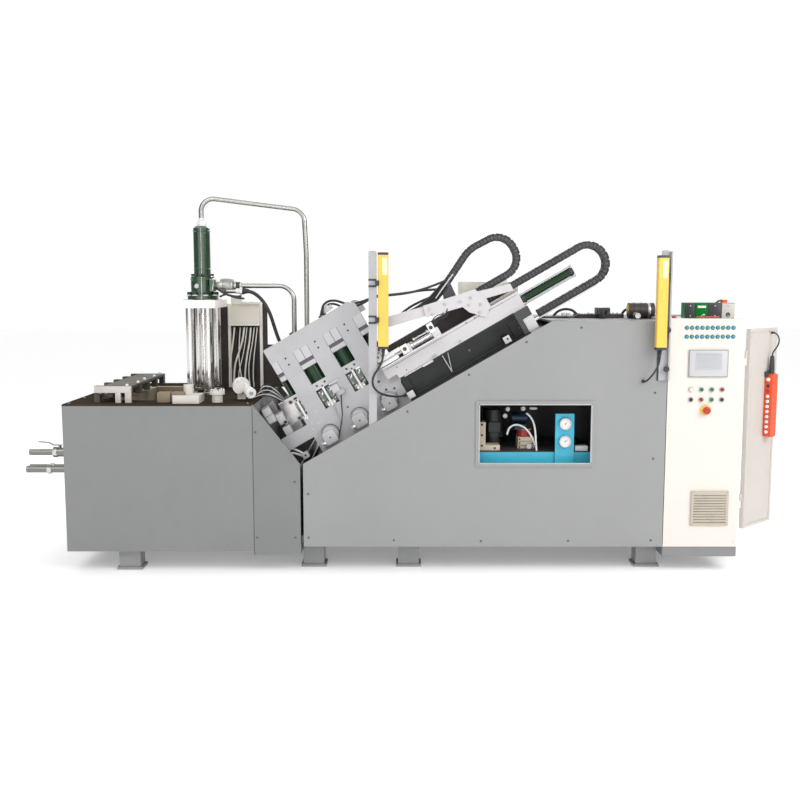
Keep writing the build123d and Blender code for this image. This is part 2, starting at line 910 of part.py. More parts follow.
# Square nuts on round bosses at the plate's foot, and a half round plate
nut_places = (191, 386, 581)
nut_above = 42
nut_half = 37
nut_corner = 22
nut_depth = 120
boss_depth = 150
nut_boss_radius = 44
half_round_along = 628
half_round_above = 150
half_round_radius = 78
half_round_front = beam_depth + beam_thickness + seat

with BuildPart() as guide_discs:
    for along in nut_places:
        with BuildSketch(bed(nut_depth)):
            with Locations((along, nut_above)):
                RectangleRounded(2 * nut_half, 2 * nut_half, nut_corner)
        extrude(amount=nut_depth - boss_depth)
        with BuildSketch(bed(boss_depth)):
            with Locations((along + 6, nut_above + 14)):
                Circle(nut_boss_radius)
        extrude(amount=boss_depth - head_depth)
        with BuildSketch(bed(nut_depth + 8)):
            area(along - nut_half - 28, along - nut_half + 6, nut_above - 34, nut_above - 6)
        extrude(amount=nut_depth + 8 - head_depth)
    with BuildSketch(bed(half_round_front)):
        with Locations((half_round_along, half_round_above)):
            Circle(half_round_radius)
    extrude(amount=half_round_front - head_depth)
keep(guide_discs, "guide_discs")

# Dies between the furnace and the fixed platen
die_front = 300
die_depth = 400

with BuildPart() as die_set:
    with BuildSketch(bed(die_front)):
        area(2, platen_start, 200, 346)
        area(-50, 2, 135, 300)
    extrude(amount=-die_depth)
    with BuildSketch(bed(die_front)):
        area(-104, -50, 262, 372)
    extrude(amount=-die_depth / 2)
keep(die_set, "die_set")

# Moving platen and the clamp housing under the beam
housing_start = 640
housing_end = bed_length - 110
housing_front = 230
housing_top = 128

with BuildPart() as clamp_housing:
    with BuildSketch(bed(housing_front)):
        area(housing_start, housing_end, bed_plate_top, housing_top)
    extrude(amount=2 * housing_front - machine_depth)
    with BuildSketch(bed(platen_front)):
        area(rear_platen_start, housing_start, bed_plate_top, platen_top)
    extrude(amount=platen_front - platen_back)
keep(clamp_housing, "clamp_housing")

rear_cover_left = body_left + 905
rear_cover_right = body_left + 1233
rear_cover_top = body_height + 214
rear_cover_front = 400
rear_cover_depth = 420

with BuildPart() as rear_cover:
    with BuildSketch(front(rear_cover_front)):
        Polygon(
            (rear_cover_left, face_height(rear_cover_left, housing_top)),
            (rear_cover_right, face_height(rear_cover_right, housing_top)),
            (rear_cover_right, rear_cover_top),
            (rear_cover_left, rear_cover_top),
            align=None,
        )
    extrude(amount=-rear_cover_depth)
keep(rear_cover, "rear_cover")

drive_cover_start = housing_start + 75
drive_cover_end = housing_start + 670
drive_cover_top = 320
drive_cover_front = 244
drive_cover_thickness = 60

with BuildPart() as drive_cover:
    with BuildSketch(bed(drive_cover_front)):
        area(drive_cover_start, drive_cover_end, housing_top, drive_cover_top)
    extrude(amount=-drive_cover_thickness)
keep(drive_cover, "drive_cover")

# Beam of the take-out arm on the channel at the housing's side
beam_start = 640
beam_end = beam_start + beam_length
beam_bottom = 138
beam_top = beam_bottom + beam_height
beam_step = 26
beam_back = beam_depth + beam_thickness

with BuildPart() as arm_beam:
    with BuildSketch(bed(beam_depth)):
        Polygon(
            (beam_start, beam_bottom + beam_step),
            (beam_start + 60, beam_bottom + beam_step),
            (beam_start + 60, beam_bottom),
            (beam_end, beam_bottom),
            (beam_end, beam_top),
            (beam_start, beam_top),
            align=None,
        )
    extrude(amount=-beam_thickness)
keep(arm_beam, "arm_beam")

channel_start = housing_start + 60
channel_end = housing_end - 46
channel_front = head_depth + 2
channel_web = 20
flange_start = channel_start + 12
flange_plate = 10
clamp_block_places = (697, 1312)
clamp_block_size = 36
clamp_block_front = 60
clamp_block_foot = 12

with BuildPart() as side_channel:
    with BuildSketch(bed(channel_front)):
        area(channel_start, channel_end, 0, beam_bottom)
        area(channel_start + 40, channel_end - 50, 14, 96, Mode.SUBTRACT)
    extrude(amount=channel_front + channel_web - housing_front)
    with BuildSketch(bed(housing_front - channel_web)):
        area(channel_start, channel_end, 0, beam_bottom)
    extrude(amount=-channel_web)
    with BuildSketch(bed(beam_depth)):
        area(flange_start, channel_end, beam_bottom - flange_plate, beam_bottom)
    extrude(amount=beam_depth - channel_front)
    for along in clamp_block_places:
        with BuildSketch(bed(clamp_block_front)):
            area(along, along + clamp_block_size, clamp_block_foot, clamp_block_foot + clamp_block_size)
        extrude(amount=clamp_block_front - channel_front - channel_web)
keep(side_channel, "side_channel")

stroke_radius = 22
stroke_above = 176
stroke_length = 330

with BuildPart() as stroke_cylinder:
    with BuildSketch(across(beam_end)):
        with Locations((deep(beam_depth + beam_thickness / 2), stroke_above)):
            Circle(stroke_radius)
    extrude(amount=stroke_length)
keep(stroke_cylinder, "stroke_cylinder")

# Drag chains: link plates along both sides of a path, joined by cross bars
chain_depth = beam_back + 8
bar_thickness = 5
link_gap = 4
chain_bend = 104
arm_chain_start = 1190
arm_chain_above = 336
arm_chain_turn = 1622
arm_chain_high = 556
arm_chain_crest = 1400
arm_chain_droop = 200
mouth_along = 1170
mouth_above = 452
beam_chain_above = 268
beam_chain_low = 58
beam_chain_start = 1328
beam_chain_turn = 2044
trough_start = 1560
trough_end = 1930
tray_thickness = 8


def drag_chain(points, radii):
    """Chain that follows a path in the bed's plane, one link plate after another."""
    with BuildLine() as path:
        FilletPolyline(*points, radius=radii)
    wire = path.wires()[0]
    count = round(wire.length / chain_pitch)
    stations = [(i + 0.5) / count for i in range(count)]
    places = [(wire @ t, wire.tangent_angle_at(t)) for t in stations]
    joints = [wire @ (i / count) for i in range(1, count)]
    with BuildPart() as chain:
        for depth in (chain_depth, chain_depth + chain_width - side_plate_thickness):
            with BuildSketch(bed(depth)):
                for spot, angle in places:
                    with Locations((spot.X, spot.Y)):
                        Rectangle(chain_pitch - link_gap, chain_height, rotation=angle)
                for joint in joints:
                    with Locations((joint.X, joint.Y)):
                        RegularPolygon(chain_height / 2 - 2, 8)
            extrude(amount=-side_plate_thickness)
        with BuildSketch(bed(chain_depth)):
            for spot, angle in places:
                with Locations(Location((spot.X, spot.Y, 0), (0, 0, angle))):
                    with GridLocations(0, chain_height - bar_thickness, 1, 2):
                        Rectangle(chain_pitch / 3, bar_thickness)
        extrude(amount=-chain_width)
    return chain


keep(
    drag_chain(
        [
            (arm_chain_start, arm_chain_above),
            (arm_chain_turn, arm_chain_above),
            (arm_chain_turn, arm_chain_high),
            (arm_chain_crest, arm_chain_high + 10),
            (mouth_along, mouth_above),
        ],
        [chain_bend, chain_bend, arm_chain_droop],
    ),
    "arm_chain",
)
keep(
    drag_chain(
        [
            (beam_chain_start, beam_chain_above),
            (beam_chain_turn, beam_chain_above),
            (beam_chain_turn, beam_chain_low),
            (trough_start, beam_chain_low),
        ],
        [chain_bend, chain_bend],
    ),
    "beam_chain",
)

end_block_front = 60
end_block_end = channel_end + 83
trough_top = beam_chain_low - chain_height / 2

with BuildPart() as chain_trough:
    with BuildSketch(bed(end_block_front)):
        area(channel_end, end_block_end, 4, beam_bottom)
    extrude(amount=end_block_front - housing_front)
    with BuildSketch(bed(chain_depth - 4)):
        area(end_block_end - 10, trough_end, trough_top - tray_thickness, trough_top)
    extrude(amount=-(chain_width + 8))
keep(chain_trough, "chain_trough")

# Take-out arm: the arm, its carriage on the beam and the seats of both chains
arm_start = 740
arm_end = 1500
arm_low = 430
arm_end_low = 246
arm_height = 56
sleeve_start = 1000
carriage_start = 1262
carriage_end = 1345
carriage_top = 330
bracket_plate = 12
tray_lap = 12
arm_tray_top = arm_chain_above - chain_height / 2
beam_tray_top = beam_chain_above - chain_height / 2
mouth_plate_lap = 20

with BuildPart() as take_out_arm:
    with BuildSketch(bed(beam_depth)):
        Polygon(
            (arm_start, arm_low),
            (arm_end, arm_end_low),
            (arm_end, arm_end_low + 42),
            (carriage_start - 32, carriage_top + 38),
            (arm_start + 8, arm_low + arm_height),
            align=None,
        )
        area(carriage_start, carriage_end, beam_top + seat, carriage_top)
    extrude(amount=-beam_thickness)
    with BuildSketch(bed(beam_depth - bracket_plate)):
        Polygon(
            (sleeve_start, carriage_top + 30),
            (carriage_start - 56, carriage_top - 22),
            (carriage_start - 37, beam_top + 30),
            (carriage_start + 28, beam_top - 36),
            (carriage_end, beam_top),
            (carriage_end - 29, carriage_top + 30),
            (carriage_start - 26, carriage_top + 46),
            (sleeve_start + 18, carriage_top + 94),
            align=None,
        )
    extrude(amount=-bracket_plate)
    with BuildSketch(bed(beam_back - tray_lap)):
        area(arm_chain_start, arm_end, arm_tray_top - tray_thickness, arm_tray_top)
        area(beam_chain_start - 28, beam_chain_start + 92, beam_tray_top - tray_thickness, beam_tray_top)
    extrude(amount=-(chain_width + tray_lap + 8))
    with BuildSketch(bed(beam_back - mouth_plate_lap)):
        Polygon(
            (mouth_along - 40, mouth_above - 82),
            (mouth_along + 35, mouth_above - 102),
            (mouth_along + 45, mouth_above + 26),
            (mouth_along - 5, mouth_above + 18),
            align=None,
        )
    extrude(amount=beam_back - mouth_plate_lap - chain_depth)
keep(take_out_arm, "take_out_arm")

# Pneumatic cylinder of the gripper, on the beam
gripper_radius = 9
gripper_bore = 10
gripper_above = beam_top + 26
gripper_front = 790
gripper_back = 1030
gripper_block_half = 25
gripper_tube_radius = 15
gripper_rod_end = 930
gripper_bar_start = 652
gripper_bar_end = 742
gripper_depth = beam_depth + beam_thickness / 2

with BuildPart() as gripper_cylinder:
    with BuildSketch(bed(gripper_depth - gripper_block_half)):
        area(gripper_front, gripper_front + 55, beam_top, beam_top + 2 * gripper_block_half)
        area(gripper_back - 45, gripper_back, beam_top, beam_top + 2 * gripper_block_half)
    extrude(amount=-2 * gripper_block_half)
    with BuildSketch(across(gripper_front)):
        with Locations((deep(gripper_depth), gripper_above)):
            Circle(gripper_tube_radius)
    extrude(amount=gripper_back - gripper_front)
    with BuildSketch(across(gripper_front)):
        with Locations((deep(gripper_depth), gripper_above)):
            Circle(gripper_bore)
    extrude(amount=gripper_rod_end + 20 - gripper_front, mode=Mode.SUBTRACT)
keep(gripper_cylinder, "gripper_cylinder")

with BuildPart() as gripper_rod:
    with BuildSketch(across(gripper_bar_end)):
        with Locations((deep(gripper_depth), gripper_above)):
            Circle(gripper_radius)
    extrude(amount=gripper_rod_end - gripper_bar_end)
    with BuildSketch(bed(gripper_depth - 22)):
        area(gripper_bar_start, gripper_bar_end, beam_top + 6, beam_top + 46)
    extrude(amount=-44)
keep(gripper_rod, "gripper_rod")

# Light curtains and the posts that carry them
curtain_width = 58
curtain_thickness = 45
curtain_length = 482
curtain_cap = 14
curtain_bottom = 1275
right_post_x = cabinet_left - 25
right_post_bottom = 1089
right_post_length = 704
right_curtain_x = right_post_x - 36
post_plate = 8
post_flange = 28
left_post_x = body_left + 391
left_curtain_x = left_post_x + 58
left_post_half = 22
left_post_depth = 30
left_post_top = 1790
left_curtain_extra = 18
bracket_height = 24
right_brackets = (1330, 1650)
left_brackets = (1410, 1610)
left_post_start = left_post_x - left_post_half
left_post_end = left_post_x + left_post_half

with BuildPart() as curtain_posts:
    with BuildSketch(Plane.XY.offset(right_post_bottom)):
        area(right_post_x - 30, right_post_x + 24, deep(-post_plate), deep(0))
        area(right_post_x + 24 - post_plate, right_post_x + 24, deep(-post_flange), deep(0))
    extrude(amount=right_post_length)
    with BuildSketch(front(curtain_thickness - front_reach)):
        for z in right_brackets:
            area(right_post_x - 30, right_post_x - 10, z, z + bracket_height)
    extrude(amount=curtain_thickness - front_reach + post_plate)
    with BuildSketch(front(panel)):
        Polygon(
            (left_post_start, face_height(left_post_start, bed_plate_top)),
            (left_post_end, face_height(left_post_end, bed_plate_top)),
            (left_post_end, left_post_top),
            (left_post_start, left_post_top),
            align=None,
        )
        for z in left_brackets:
            area(left_post_x, left_curtain_x - curtain_width / 2, z, z + bracket_height)
    extrude(amount=-left_post_depth)
keep(curtain_posts, "curtain_posts")

with BuildPart() as light_curtains:
    for x, depth, length in (
        (right_curtain_x, -front_reach, curtain_length),
        (left_curtain_x, 0, curtain_length + left_curtain_extra),
    ):
        with BuildSketch(Plane.XY.offset(curtain_bottom)):
            with Locations((x, deep(depth + curtain_thickness / 2))):
                RectangleRounded(curtain_width, curtain_thickness, 6)
        extrude(amount=length)
        with BuildSketch(Plane.XY.offset(curtain_bottom - curtain_cap)):
            with Locations((x, deep(depth + curtain_thickness / 2))):
                RectangleRounded(curtain_width - 10, curtain_thickness - 8, 5)
        extrude(amount=length + 2 * curtain_cap)
keep(light_curtains, "light_curtains")

# Control cabinet: a hollow box, open on its side behind the door
opening_front = 30
opening_back = 345
opening_bottom = 280
opening_top = 1345
door_bottom = 251
door_height = 1120
door_top = door_bottom + door_height
knuckle_height = 40
knuckle_levels = (door_bottom + 120, door_top - 200)
hinge_x = cabinet_right + door_gap + hinge_radius
hinge_y = deep(hinge_radius)
along_door = (sin(radians(door_open)), cos(radians(door_open)), 0)
out_of_door = (cos(radians(door_open)), -sin(radians(door_open)), 0)
door_plane = Plane(origin=(hinge_x, hinge_y, 0), x_dir=along_door, z_dir=out_of_door)


def level(height, x_dir=(1, 0, 0)):
    """Level plane through the door's hinge line."""
    return Plane(origin=(hinge_x, hinge_y, height), x_dir=x_dir, z_dir=(0, 0, 1))


with BuildPart() as cabinet_shell:
    with BuildSketch(front()):
        area(cabinet_left, cabinet_right, body_bottom, cabinet_top)
    extrude(amount=-cabinet_depth)
    with BuildSketch(front(cabinet_wall)):
        area(
            cabinet_left + cabinet_wall,
            cabinet_right - cabinet_wall,
            body_bottom + cabinet_wall,
            cabinet_top - cabinet_wall,
        )
    extrude(amount=2 * cabinet_wall - cabinet_depth, mode=Mode.SUBTRACT)
    with BuildSketch(Plane(origin=(cabinet_right, 0, 0), x_dir=(0, 1, 0), z_dir=(1, 0, 0))):
        area(deep(opening_front), deep(opening_back), opening_bottom, opening_top)
    extrude(amount=-cabinet_wall, mode=Mode.SUBTRACT)
    for z in knuckle_levels:
        with BuildSketch(level(z)):
            Circle(hinge_radius)
            area(-hinge_radius - door_gap, 0, -hinge_radius, -1)
        extrude(amount=knuckle_height)
keep(cabinet_shell, "cabinet_shell")

plinth_height = 58

with BuildPart() as cabinet_plinth:
    with BuildSketch(Plane.XY.offset(body_bottom - plinth_height)):
        area(cabinet_left, cabinet_right, deep(6), deep(machine_depth - panel))
    extrude(amount=plinth_height)
keep(cabinet_plinth, "cabinet_plinth")

display_left = cabinet_left + 111
display_width = 215
display_height = 150
display_bottom = 1108
display_thickness = 10
screen_margin = 28
screen_recess = 3

with BuildPart() as display:
    with BuildSketch(front()):
        area(display_left, display_left + display_width, display_bottom, display_bottom + display_height)
    extrude(amount=display_thickness)
    with BuildSketch(front(-display_thickness)):
        area(
            display_left + screen_margin,
            display_left + display_width - screen_margin,
            display_bottom + screen_margin,
            display_bottom + display_height - 12,
        )
    extrude(amount=-screen_recess, mode=Mode.SUBTRACT)
keep(display, "display")

lamp_pitch = 28.4
lamp_count = 10
lamp_radius = 11
lamp_first = cabinet_left + 95
lamp_rows = (1379, 1330)
button_pitch = 57
button_count = 4
button_first = cabinet_left + 129
button_rows = (1038, 982)
button_radius = 14
stop_x = cabinet_left + 213
stop_z = 924

with BuildPart() as panel_controls:
    with BuildSketch(front()):
        for z in lamp_rows:
            with Locations(*[(lamp_first + i * lamp_pitch, z) for i in range(lamp_count)]):
                RegularPolygon(lamp_radius, 8)
    extrude(amount=7)
    with BuildSketch(front()):
        for z in button_rows:
            with Locations(*[(button_first + i * button_pitch, z) for i in range(button_count)]):
                RegularPolygon(button_radius, 10)
    extrude(amount=14)
    for start, length, radius in ((0, 8, 30), (8, 14, 14), (22, 12, 21)):
        with BuildSketch(front(-start)):
            with Locations((stop_x, stop_z)):
                Circle(radius)
        extrude(amount=length)
keep(panel_controls, "panel_controls")

vent_left = cabinet_left + 149
vent_width = 209
vent_height = 195
vent_bottom = 272
vent_thickness = 10
vent_border = 14
slat_count = 11
slat_pitch = (vent_height - 2 * vent_border) / slat_count

with BuildPart() as vent_grille:
    with BuildSketch(front()):
        area(vent_left, vent_left + vent_width, vent_bottom, vent_bottom + vent_height)
    extrude(amount=vent_thickness)
    with BuildSketch(front(-vent_thickness)):
        for i in range(slat_count):
            slot_foot = vent_bottom + vent_border + i * slat_pitch
            area(
                vent_left + vent_border,
                vent_left + vent_width - vent_border,
                slot_foot,
                slot_foot + slat_pitch / 2,
            )
    extrude(amount=-vent_thickness * 0.7, mode=Mode.SUBTRACT)
keep(vent_grille, "vent_grille")

valve_unit_left = cabinet_left + 125
valve_unit_right = valve_unit_left + 277
valve_unit_height = 84
valve_unit_depth = 150
valve_unit_thickness = 80

with BuildPart() as valve_unit:
    with BuildSketch(front(valve_unit_depth)):
        area(valve_unit_left, valve_unit_right, cabinet_top, cabinet_top + valve_unit_height)
    extrude(amount=-valve_unit_thickness)
keep(valve_unit, "valve_unit")

# Side door, standing ajar, with the pendant on it
door_front = door_thickness - hinge_radius
door_sheet = 3
door_start = hinge_radius + 2
gland_along = 236
gland_height = 1345
gland_length = 8
gland_radius = 9

with BuildPart() as side_door:
    with BuildSketch(level(door_bottom, along_door)):
        area(door_start, door_width, -door_front, hinge_radius)
    extrude(amount=door_height)
    with BuildSketch(level(door_bottom + door_sheet, along_door)):
        area(door_start + door_sheet, door_width - door_sheet, door_sheet - door_front, hinge_radius)
    extrude(amount=door_height - 2 * door_sheet, mode=Mode.SUBTRACT)
    for z in knuckle_levels:
        with BuildSketch(level(z + knuckle_height + seat, along_door)):
            Circle(hinge_radius)
            area(0, door_start, -hinge_radius, 0)
        extrude(amount=knuckle_height)
    with BuildSketch(door_plane.offset(door_front)):
        with Locations((gland_along, gland_height)):
            Circle(gland_radius)
    extrude(amount=gland_length)
keep(side_door, "side_door")

pendant_along = 226
pendant_bottom = 755
pendant_length = 360
pendant_width = 62
pendant_thickness = 46
pendant_out = door_front + seat + pendant_thickness / 2
pendant_top = pendant_bottom + pendant_length
boot_length = 100
boot_radius = 12
pendant_cord_radius = 4


def on_door(along, height, out):
    """World point given along the door, up and out of it."""
    return door_plane.from_local_coords(Vector(along, height, out))


with BuildPart() as pendant:
    with BuildSketch(door_plane.offset(door_front + seat)):
        with Locations((pendant_along, pendant_bottom + pendant_length / 2)):
            RectangleRounded(pendant_width, pendant_length, 14)
    extrude(amount=pendant_thickness)
    for height, radius in ((-2, boot_radius), (boot_length, pendant_cord_radius + 3)):
        boot_end = on_door(pendant_along, pendant_top + height, pendant_out)
        with BuildSketch(Plane(origin=boot_end, z_dir=(0, 0, 1))):
            Circle(radius)
    loft()
keep(pendant, "pendant")


# Free hoses and leads
def free_cord(name, points, radius):
    """Round tube along straight runs joined by the largest arcs that the runs allow."""
    points = [Vector(*p) for p in points]
    radii = []
    for before, corner, after in zip(points, points[1:], points[2:]):
        shorter = min((corner - before).length, (after - corner).length)
        half_turn = radians((corner - before).get_angle(after - corner)) / 2
        radii.append(0.45 * shorter / tan(half_turn))
    with BuildPart() as cord:
        with BuildLine() as route:
            FilletPolyline(*points, radius=radii)
        with BuildSketch(Plane(origin=route.line @ 0, z_dir=route.line % 0)):
            Circle(radius)
        sweep()
    length = route.wires()[0].length
    share = cord.part.volume / (length * pi * radius**2)
    print(name, "length", round(length), "arcs", [round(r) for r in radii], "volume", round(share, 3))
    keep(cord, name)


pendant_start = door_front + gland_length
free_cord(
    "pendant_cord",
    [
        on_door(gland_along, gland_height, pendant_start),
        on_door(gland_along, gland_height, pendant_start + 20),
        on_door(gland_along + 2, gland_height - 14, pendant_start + 38),
        on_door(gland_along + 4, gland_height - 39, pendant_start + 46),
        on_door(gland_along + 3, gland_height - 67, pendant_start + 42),
        on_door(gland_along - 3, gland_height - 93, pendant_start + 28),
        on_door(pendant_along, pendant_top + boot_length + 17, pendant_out),
        on_door(pendant_along, pendant_top + boot_length, pendant_out),
    ],
    pendant_cord_radius,
)

curtain_cord_radius = 5
curtain_exit = curtain_bottom - curtain_cap
right_exit_depth = curtain_thickness / 2 - front_reach
free_cord(
    "right_curtain_cord",
    [
        (right_curtain_x, deep(right_exit_depth), curtain_exit),
        (right_curtain_x, deep(right_exit_depth), curtain_exit - 36),
        (right_curtain_x - 7, deep(-58), curtain_exit - 77),
        (right_curtain_x - 25, deep(-61), curtain_exit - 115),
        (right_curtain_x - 49, deep(-58), curtain_exit - 149),
        (grommet_x + 8, deep(-48), grommet_z + 6),
        (grommet_x, deep(-28), grommet_z),
        (grommet_x, deep(-grommet_thickness), grommet_z),
    ],
    curtain_cord_radius,
)

block_face = clamp_block_places[0]
left_cord_above = clamp_block_foot + clamp_block_size - 8
free_cord(
    "left_curtain_cord",
    [
        (left_curtain_x, deep(curtain_thickness / 2), curtain_exit),
        (left_curtain_x, deep(curtain_thickness / 2), curtain_exit - 49),
        (left_curtain_x - 20, deep(0), curtain_exit - 99),
        (left_curtain_x - 54, deep(-18), curtain_exit - 143),
        (left_curtain_x - 62, deep(-20), curtain_exit - 195),
        (left_curtain_x - 32, deep(-8), curtain_exit - 237),
        (left_curtain_x + 14, deep(30), curtain_exit - 259),
        (left_curtain_x + 62, deep(72), curtain_exit - 271),
        bed_point(block_face - 30, 98, left_cord_above),
        bed_point(block_face, 98, left_cord_above),
    ],
    curtain_cord_radius + 1,
)

hose_radius = 7
injector_hose_radius = 11
hose_depth = injector_depth - 2 * hose_port_radius
hose_height = valve_z - hose_port_drop
free_cord(
    "injector_hose",
    [
        (hose_port_end, deep(hose_depth), hose_height),
        (hose_port_end + 44, deep(hose_depth), hose_height),
        (hose_port_end + 92, deep(hose_depth), hose_height - 28),
        (hose_port_end + 132, deep(hose_depth), hose_height - 74),
        (hose_port_end + 162, deep(hose_depth + 2), hose_height - 134),
        (hose_port_end + 182, deep(hose_depth + 6), hose_height - 200),
        (hose_port_end + 200, deep(hose_depth + 12), hose_height - 262),
        (hose_port_end + 220, deep(hose_depth + 18), hose_height - 318),
        (hose_x, deep(injector_depth), face_height(hose_x, platen_top) + boss_height + 46),
        (hose_x, deep(injector_depth), face_height(hose_x, platen_top) + boss_height),
    ],
    injector_hose_radius,
)

free_cord(
    "head_hose",
    [
        (loop_x, deep(loop_depth), loop_fitting_top),
        (loop_x, deep(loop_depth), loop_fitting_top + 32),
        (loop_x + 9, deep(303), loop_fitting_top + 60),
        (loop_x + 36, deep(308), loop_fitting_top + 80),
        (loop_x + 75, deep(314), loop_fitting_top + 84),
        (loop_x + 115, deep(320), loop_fitting_top + 72),
        (loop_x + 154, deep(324), loop_fitting_top + 56),
        (loop_x + 196, deep(324), loop_fitting_top + 50),
        (loop_x + 236, deep(320), loop_fitting_top + 66),
        (loop_x + 282, deep(312), loop_fitting_top + 95),
        (loop_x + 342, deep(304), loop_fitting_top + 111),
        (loop_x + 417, deep(292), loop_fitting_top + 118),
        (loop_x + 497, deep(274), loop_fitting_top + 128),
        (loop_x + 577, deep(250), loop_fitting_top + 142),
        (loop_x + 645, deep(228), loop_fitting_top + 146),
        bed_point(mouth_along - 6, 219, mouth_above - 3),
        bed_point(mouth_along + 22, 219, mouth_above + 11),
    ],
    hose_radius,
)

free_cord(
    "arm_hose",
    [
        bed_point(850, beam_back, 436),
        bed_point(850, beam_back + 26, 436),
        bed_point(872, beam_back + 42, 440),
        bed_point(912, beam_back + 46, 448),
        bed_point(966, beam_back + 42, 453),
        bed_point(1030, beam_back + 34, 449),
        bed_point(1092, beam_back + 28, 440),
        bed_point(1138, beam_back + 26, 440),
        bed_point(mouth_along - 6, beam_back + 26, mouth_above - 3),
        bed_point(mouth_along + 22, beam_back + 26, mouth_above + 11),
    ],
    hose_radius,
)
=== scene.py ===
# %% [markdown]
# # A hot chamber die casting machine
# The real machine is sheet steel, castings, hoses and drag chains. Its solids come from the
# frame, so this lesson gives each one a finish and adds the small things that a fitter would
# screw on: nuts, caps, lamps, dials and louvres. Everything is in metres, in the frame's own
# axes: X runs along the machine from the furnace to the cabinet, Y away from the operator and
# Z up from the shop floor.

import math

import bpy
import numpy as np
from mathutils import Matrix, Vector


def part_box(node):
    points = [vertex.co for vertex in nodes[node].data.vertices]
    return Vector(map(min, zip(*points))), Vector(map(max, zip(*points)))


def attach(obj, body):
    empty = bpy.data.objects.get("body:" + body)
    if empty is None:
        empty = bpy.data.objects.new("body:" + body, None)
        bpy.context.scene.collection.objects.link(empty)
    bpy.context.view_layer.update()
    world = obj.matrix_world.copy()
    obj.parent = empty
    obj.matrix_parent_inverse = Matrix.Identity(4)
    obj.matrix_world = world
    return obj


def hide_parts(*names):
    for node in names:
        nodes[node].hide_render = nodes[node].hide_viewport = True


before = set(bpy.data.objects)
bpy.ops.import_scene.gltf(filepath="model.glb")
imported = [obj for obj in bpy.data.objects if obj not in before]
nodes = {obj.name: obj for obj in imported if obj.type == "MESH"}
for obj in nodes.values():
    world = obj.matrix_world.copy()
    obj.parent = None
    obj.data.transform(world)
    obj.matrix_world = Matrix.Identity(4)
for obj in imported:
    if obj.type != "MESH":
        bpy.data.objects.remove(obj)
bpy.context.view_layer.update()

# %% [markdown]
# ## Where things are
# The machine has three sets of directions: its upright front, the bed that climbs at 30
# degrees, and the door that stands ajar. A "face" here is an origin with three directions:
# a runs along it, b up it, and c out of it. Pieces are drawn in a, b and c once and then
# set on any face, so the same nut fits the bed and the cabinet. Depths count backwards from
# the plane of the front panel.

# %% The faces
FRONT = -0.562  # Y of the front panel
BACK = 1.1975  # depth at which screws sit on the back panel
BED_X, BED_Z = -0.5373, 0.62  # the bed's lower corner
CLIMB = math.radians(30)
UPHILL = (math.cos(CLIMB), 0, math.sin(CLIMB))
SQUARE = (-math.sin(CLIMB), 0, math.cos(CLIMB))
AJAR = math.radians(47.4)
HINGE = (1.9107, -0.556)


def face(x, z, depth=0.0):
    """Upright face towards the operator: a = X, b = Z, c = -Y."""
    return (x, FRONT + depth, z), ((1, 0, 0), (0, 0, 1), (0, -1, 0))


def back_face(x, z, depth=1.2):
    """Upright face at the rear: a = -X, b = Z, c = +Y."""
    return (x, FRONT + depth, z), ((-1, 0, 0), (0, 0, 1), (0, 1, 0))


def top(x, depth, z):
    """Level face: a = X, b = Y, c = Z."""
    return (x, FRONT + depth, z), ((1, 0, 0), (0, 1, 0), (0, 0, 1))


def endways(x, depth, z, sign=1):
    """Face that looks along X, to the right for sign 1 and to the left for -1."""
    return (x, FRONT + depth, z), ((0, sign, 0), (0, 0, 1), (sign, 0, 0))


def slope_face(along, above, depth):
    """Face towards the operator on the bed: a = uphill, b = square to the bed, c = -Y."""
    x = BED_X + along * UPHILL[0] + above * SQUARE[0]
    z = BED_Z + along * UPHILL[2] + above * SQUARE[2]
    return (x, FRONT + depth, z), (UPHILL, SQUARE, (0, -1, 0))


def slope_top(along, above, depth):
    """Face parallel to the bed: a = uphill, b = +Y, c = square to the bed."""
    origin = slope_face(along, above, depth)[0]
    return origin, (UPHILL, (0, 1, 0), SQUARE)


def slope_end(along, above, depth, sign=1):
    """Face that looks uphill for sign 1 and downhill for -1: a = Y, b = square to the bed."""
    origin = slope_face(along, above, depth)[0]
    c = tuple(sign * v for v in UPHILL)
    return origin, ((0, sign, 0), SQUARE, c)


def door_face(along, height, out=0.016):
    """Outer face of the open door: a = away from the hinge, b = Z, c = out of it."""
    a = (math.sin(AJAR), math.cos(AJAR), 0)
    c = (math.cos(AJAR), -math.sin(AJAR), 0)
    x = HINGE[0] + along * a[0] + out * c[0]
    y = HINGE[1] + along * a[1] + out * c[1]
    return (x, y, height), (a, (0, 0, 1), c)


print("the bed climbs at", round(math.degrees(CLIMB)), "degrees and the door stands open")

# %% [markdown]
# ## Camera
# The photograph is taken from about 5.4 m, a little above eye height, and looks down by 6.7 degrees. A 44.2
# mm lens on a 36 mm wide sensor gives the same frame. These numbers follow from the two level rows and the
# upright edges in the photo.

# %% The camera
eye = bpy.data.objects.new("camera", bpy.data.cameras.new("camera"))
eye.data.lens = 44.2
eye.data.sensor_width = 36.0
eye.location = (0.004, -5.962, 1.614)
eye.rotation_euler = (math.radians(90 - 6.7), 0, 0)
bpy.context.collection.objects.link(eye)
bpy.context.scene.camera = eye
print("the camera has a lens of", round(eye.data.lens, 1), "mm")

# %% [markdown]
# ## Nodes
# The hall's light and every finish are small networks of shader nodes. Two helpers keep them
# short: one adds a node, the other gives inputs a value or another node's output.

# %% Adding and wiring nodes
def wire(tree, made, inputs):
    """Give a node's inputs their values, or link them to outputs of other nodes."""
    for key, value in inputs.items():
        if isinstance(value, bpy.types.NodeSocket):
            tree.links.new(value, made.inputs[key])
        else:
            made.inputs[key].default_value = value


def node(tree, kind, inputs, **settings):
    """New node with its settings and its inputs."""
    made = tree.nodes.new("ShaderNode" + kind)
    for key, value in settings.items():
        setattr(made, key, value)
    wire(tree, made, inputs)
    return made


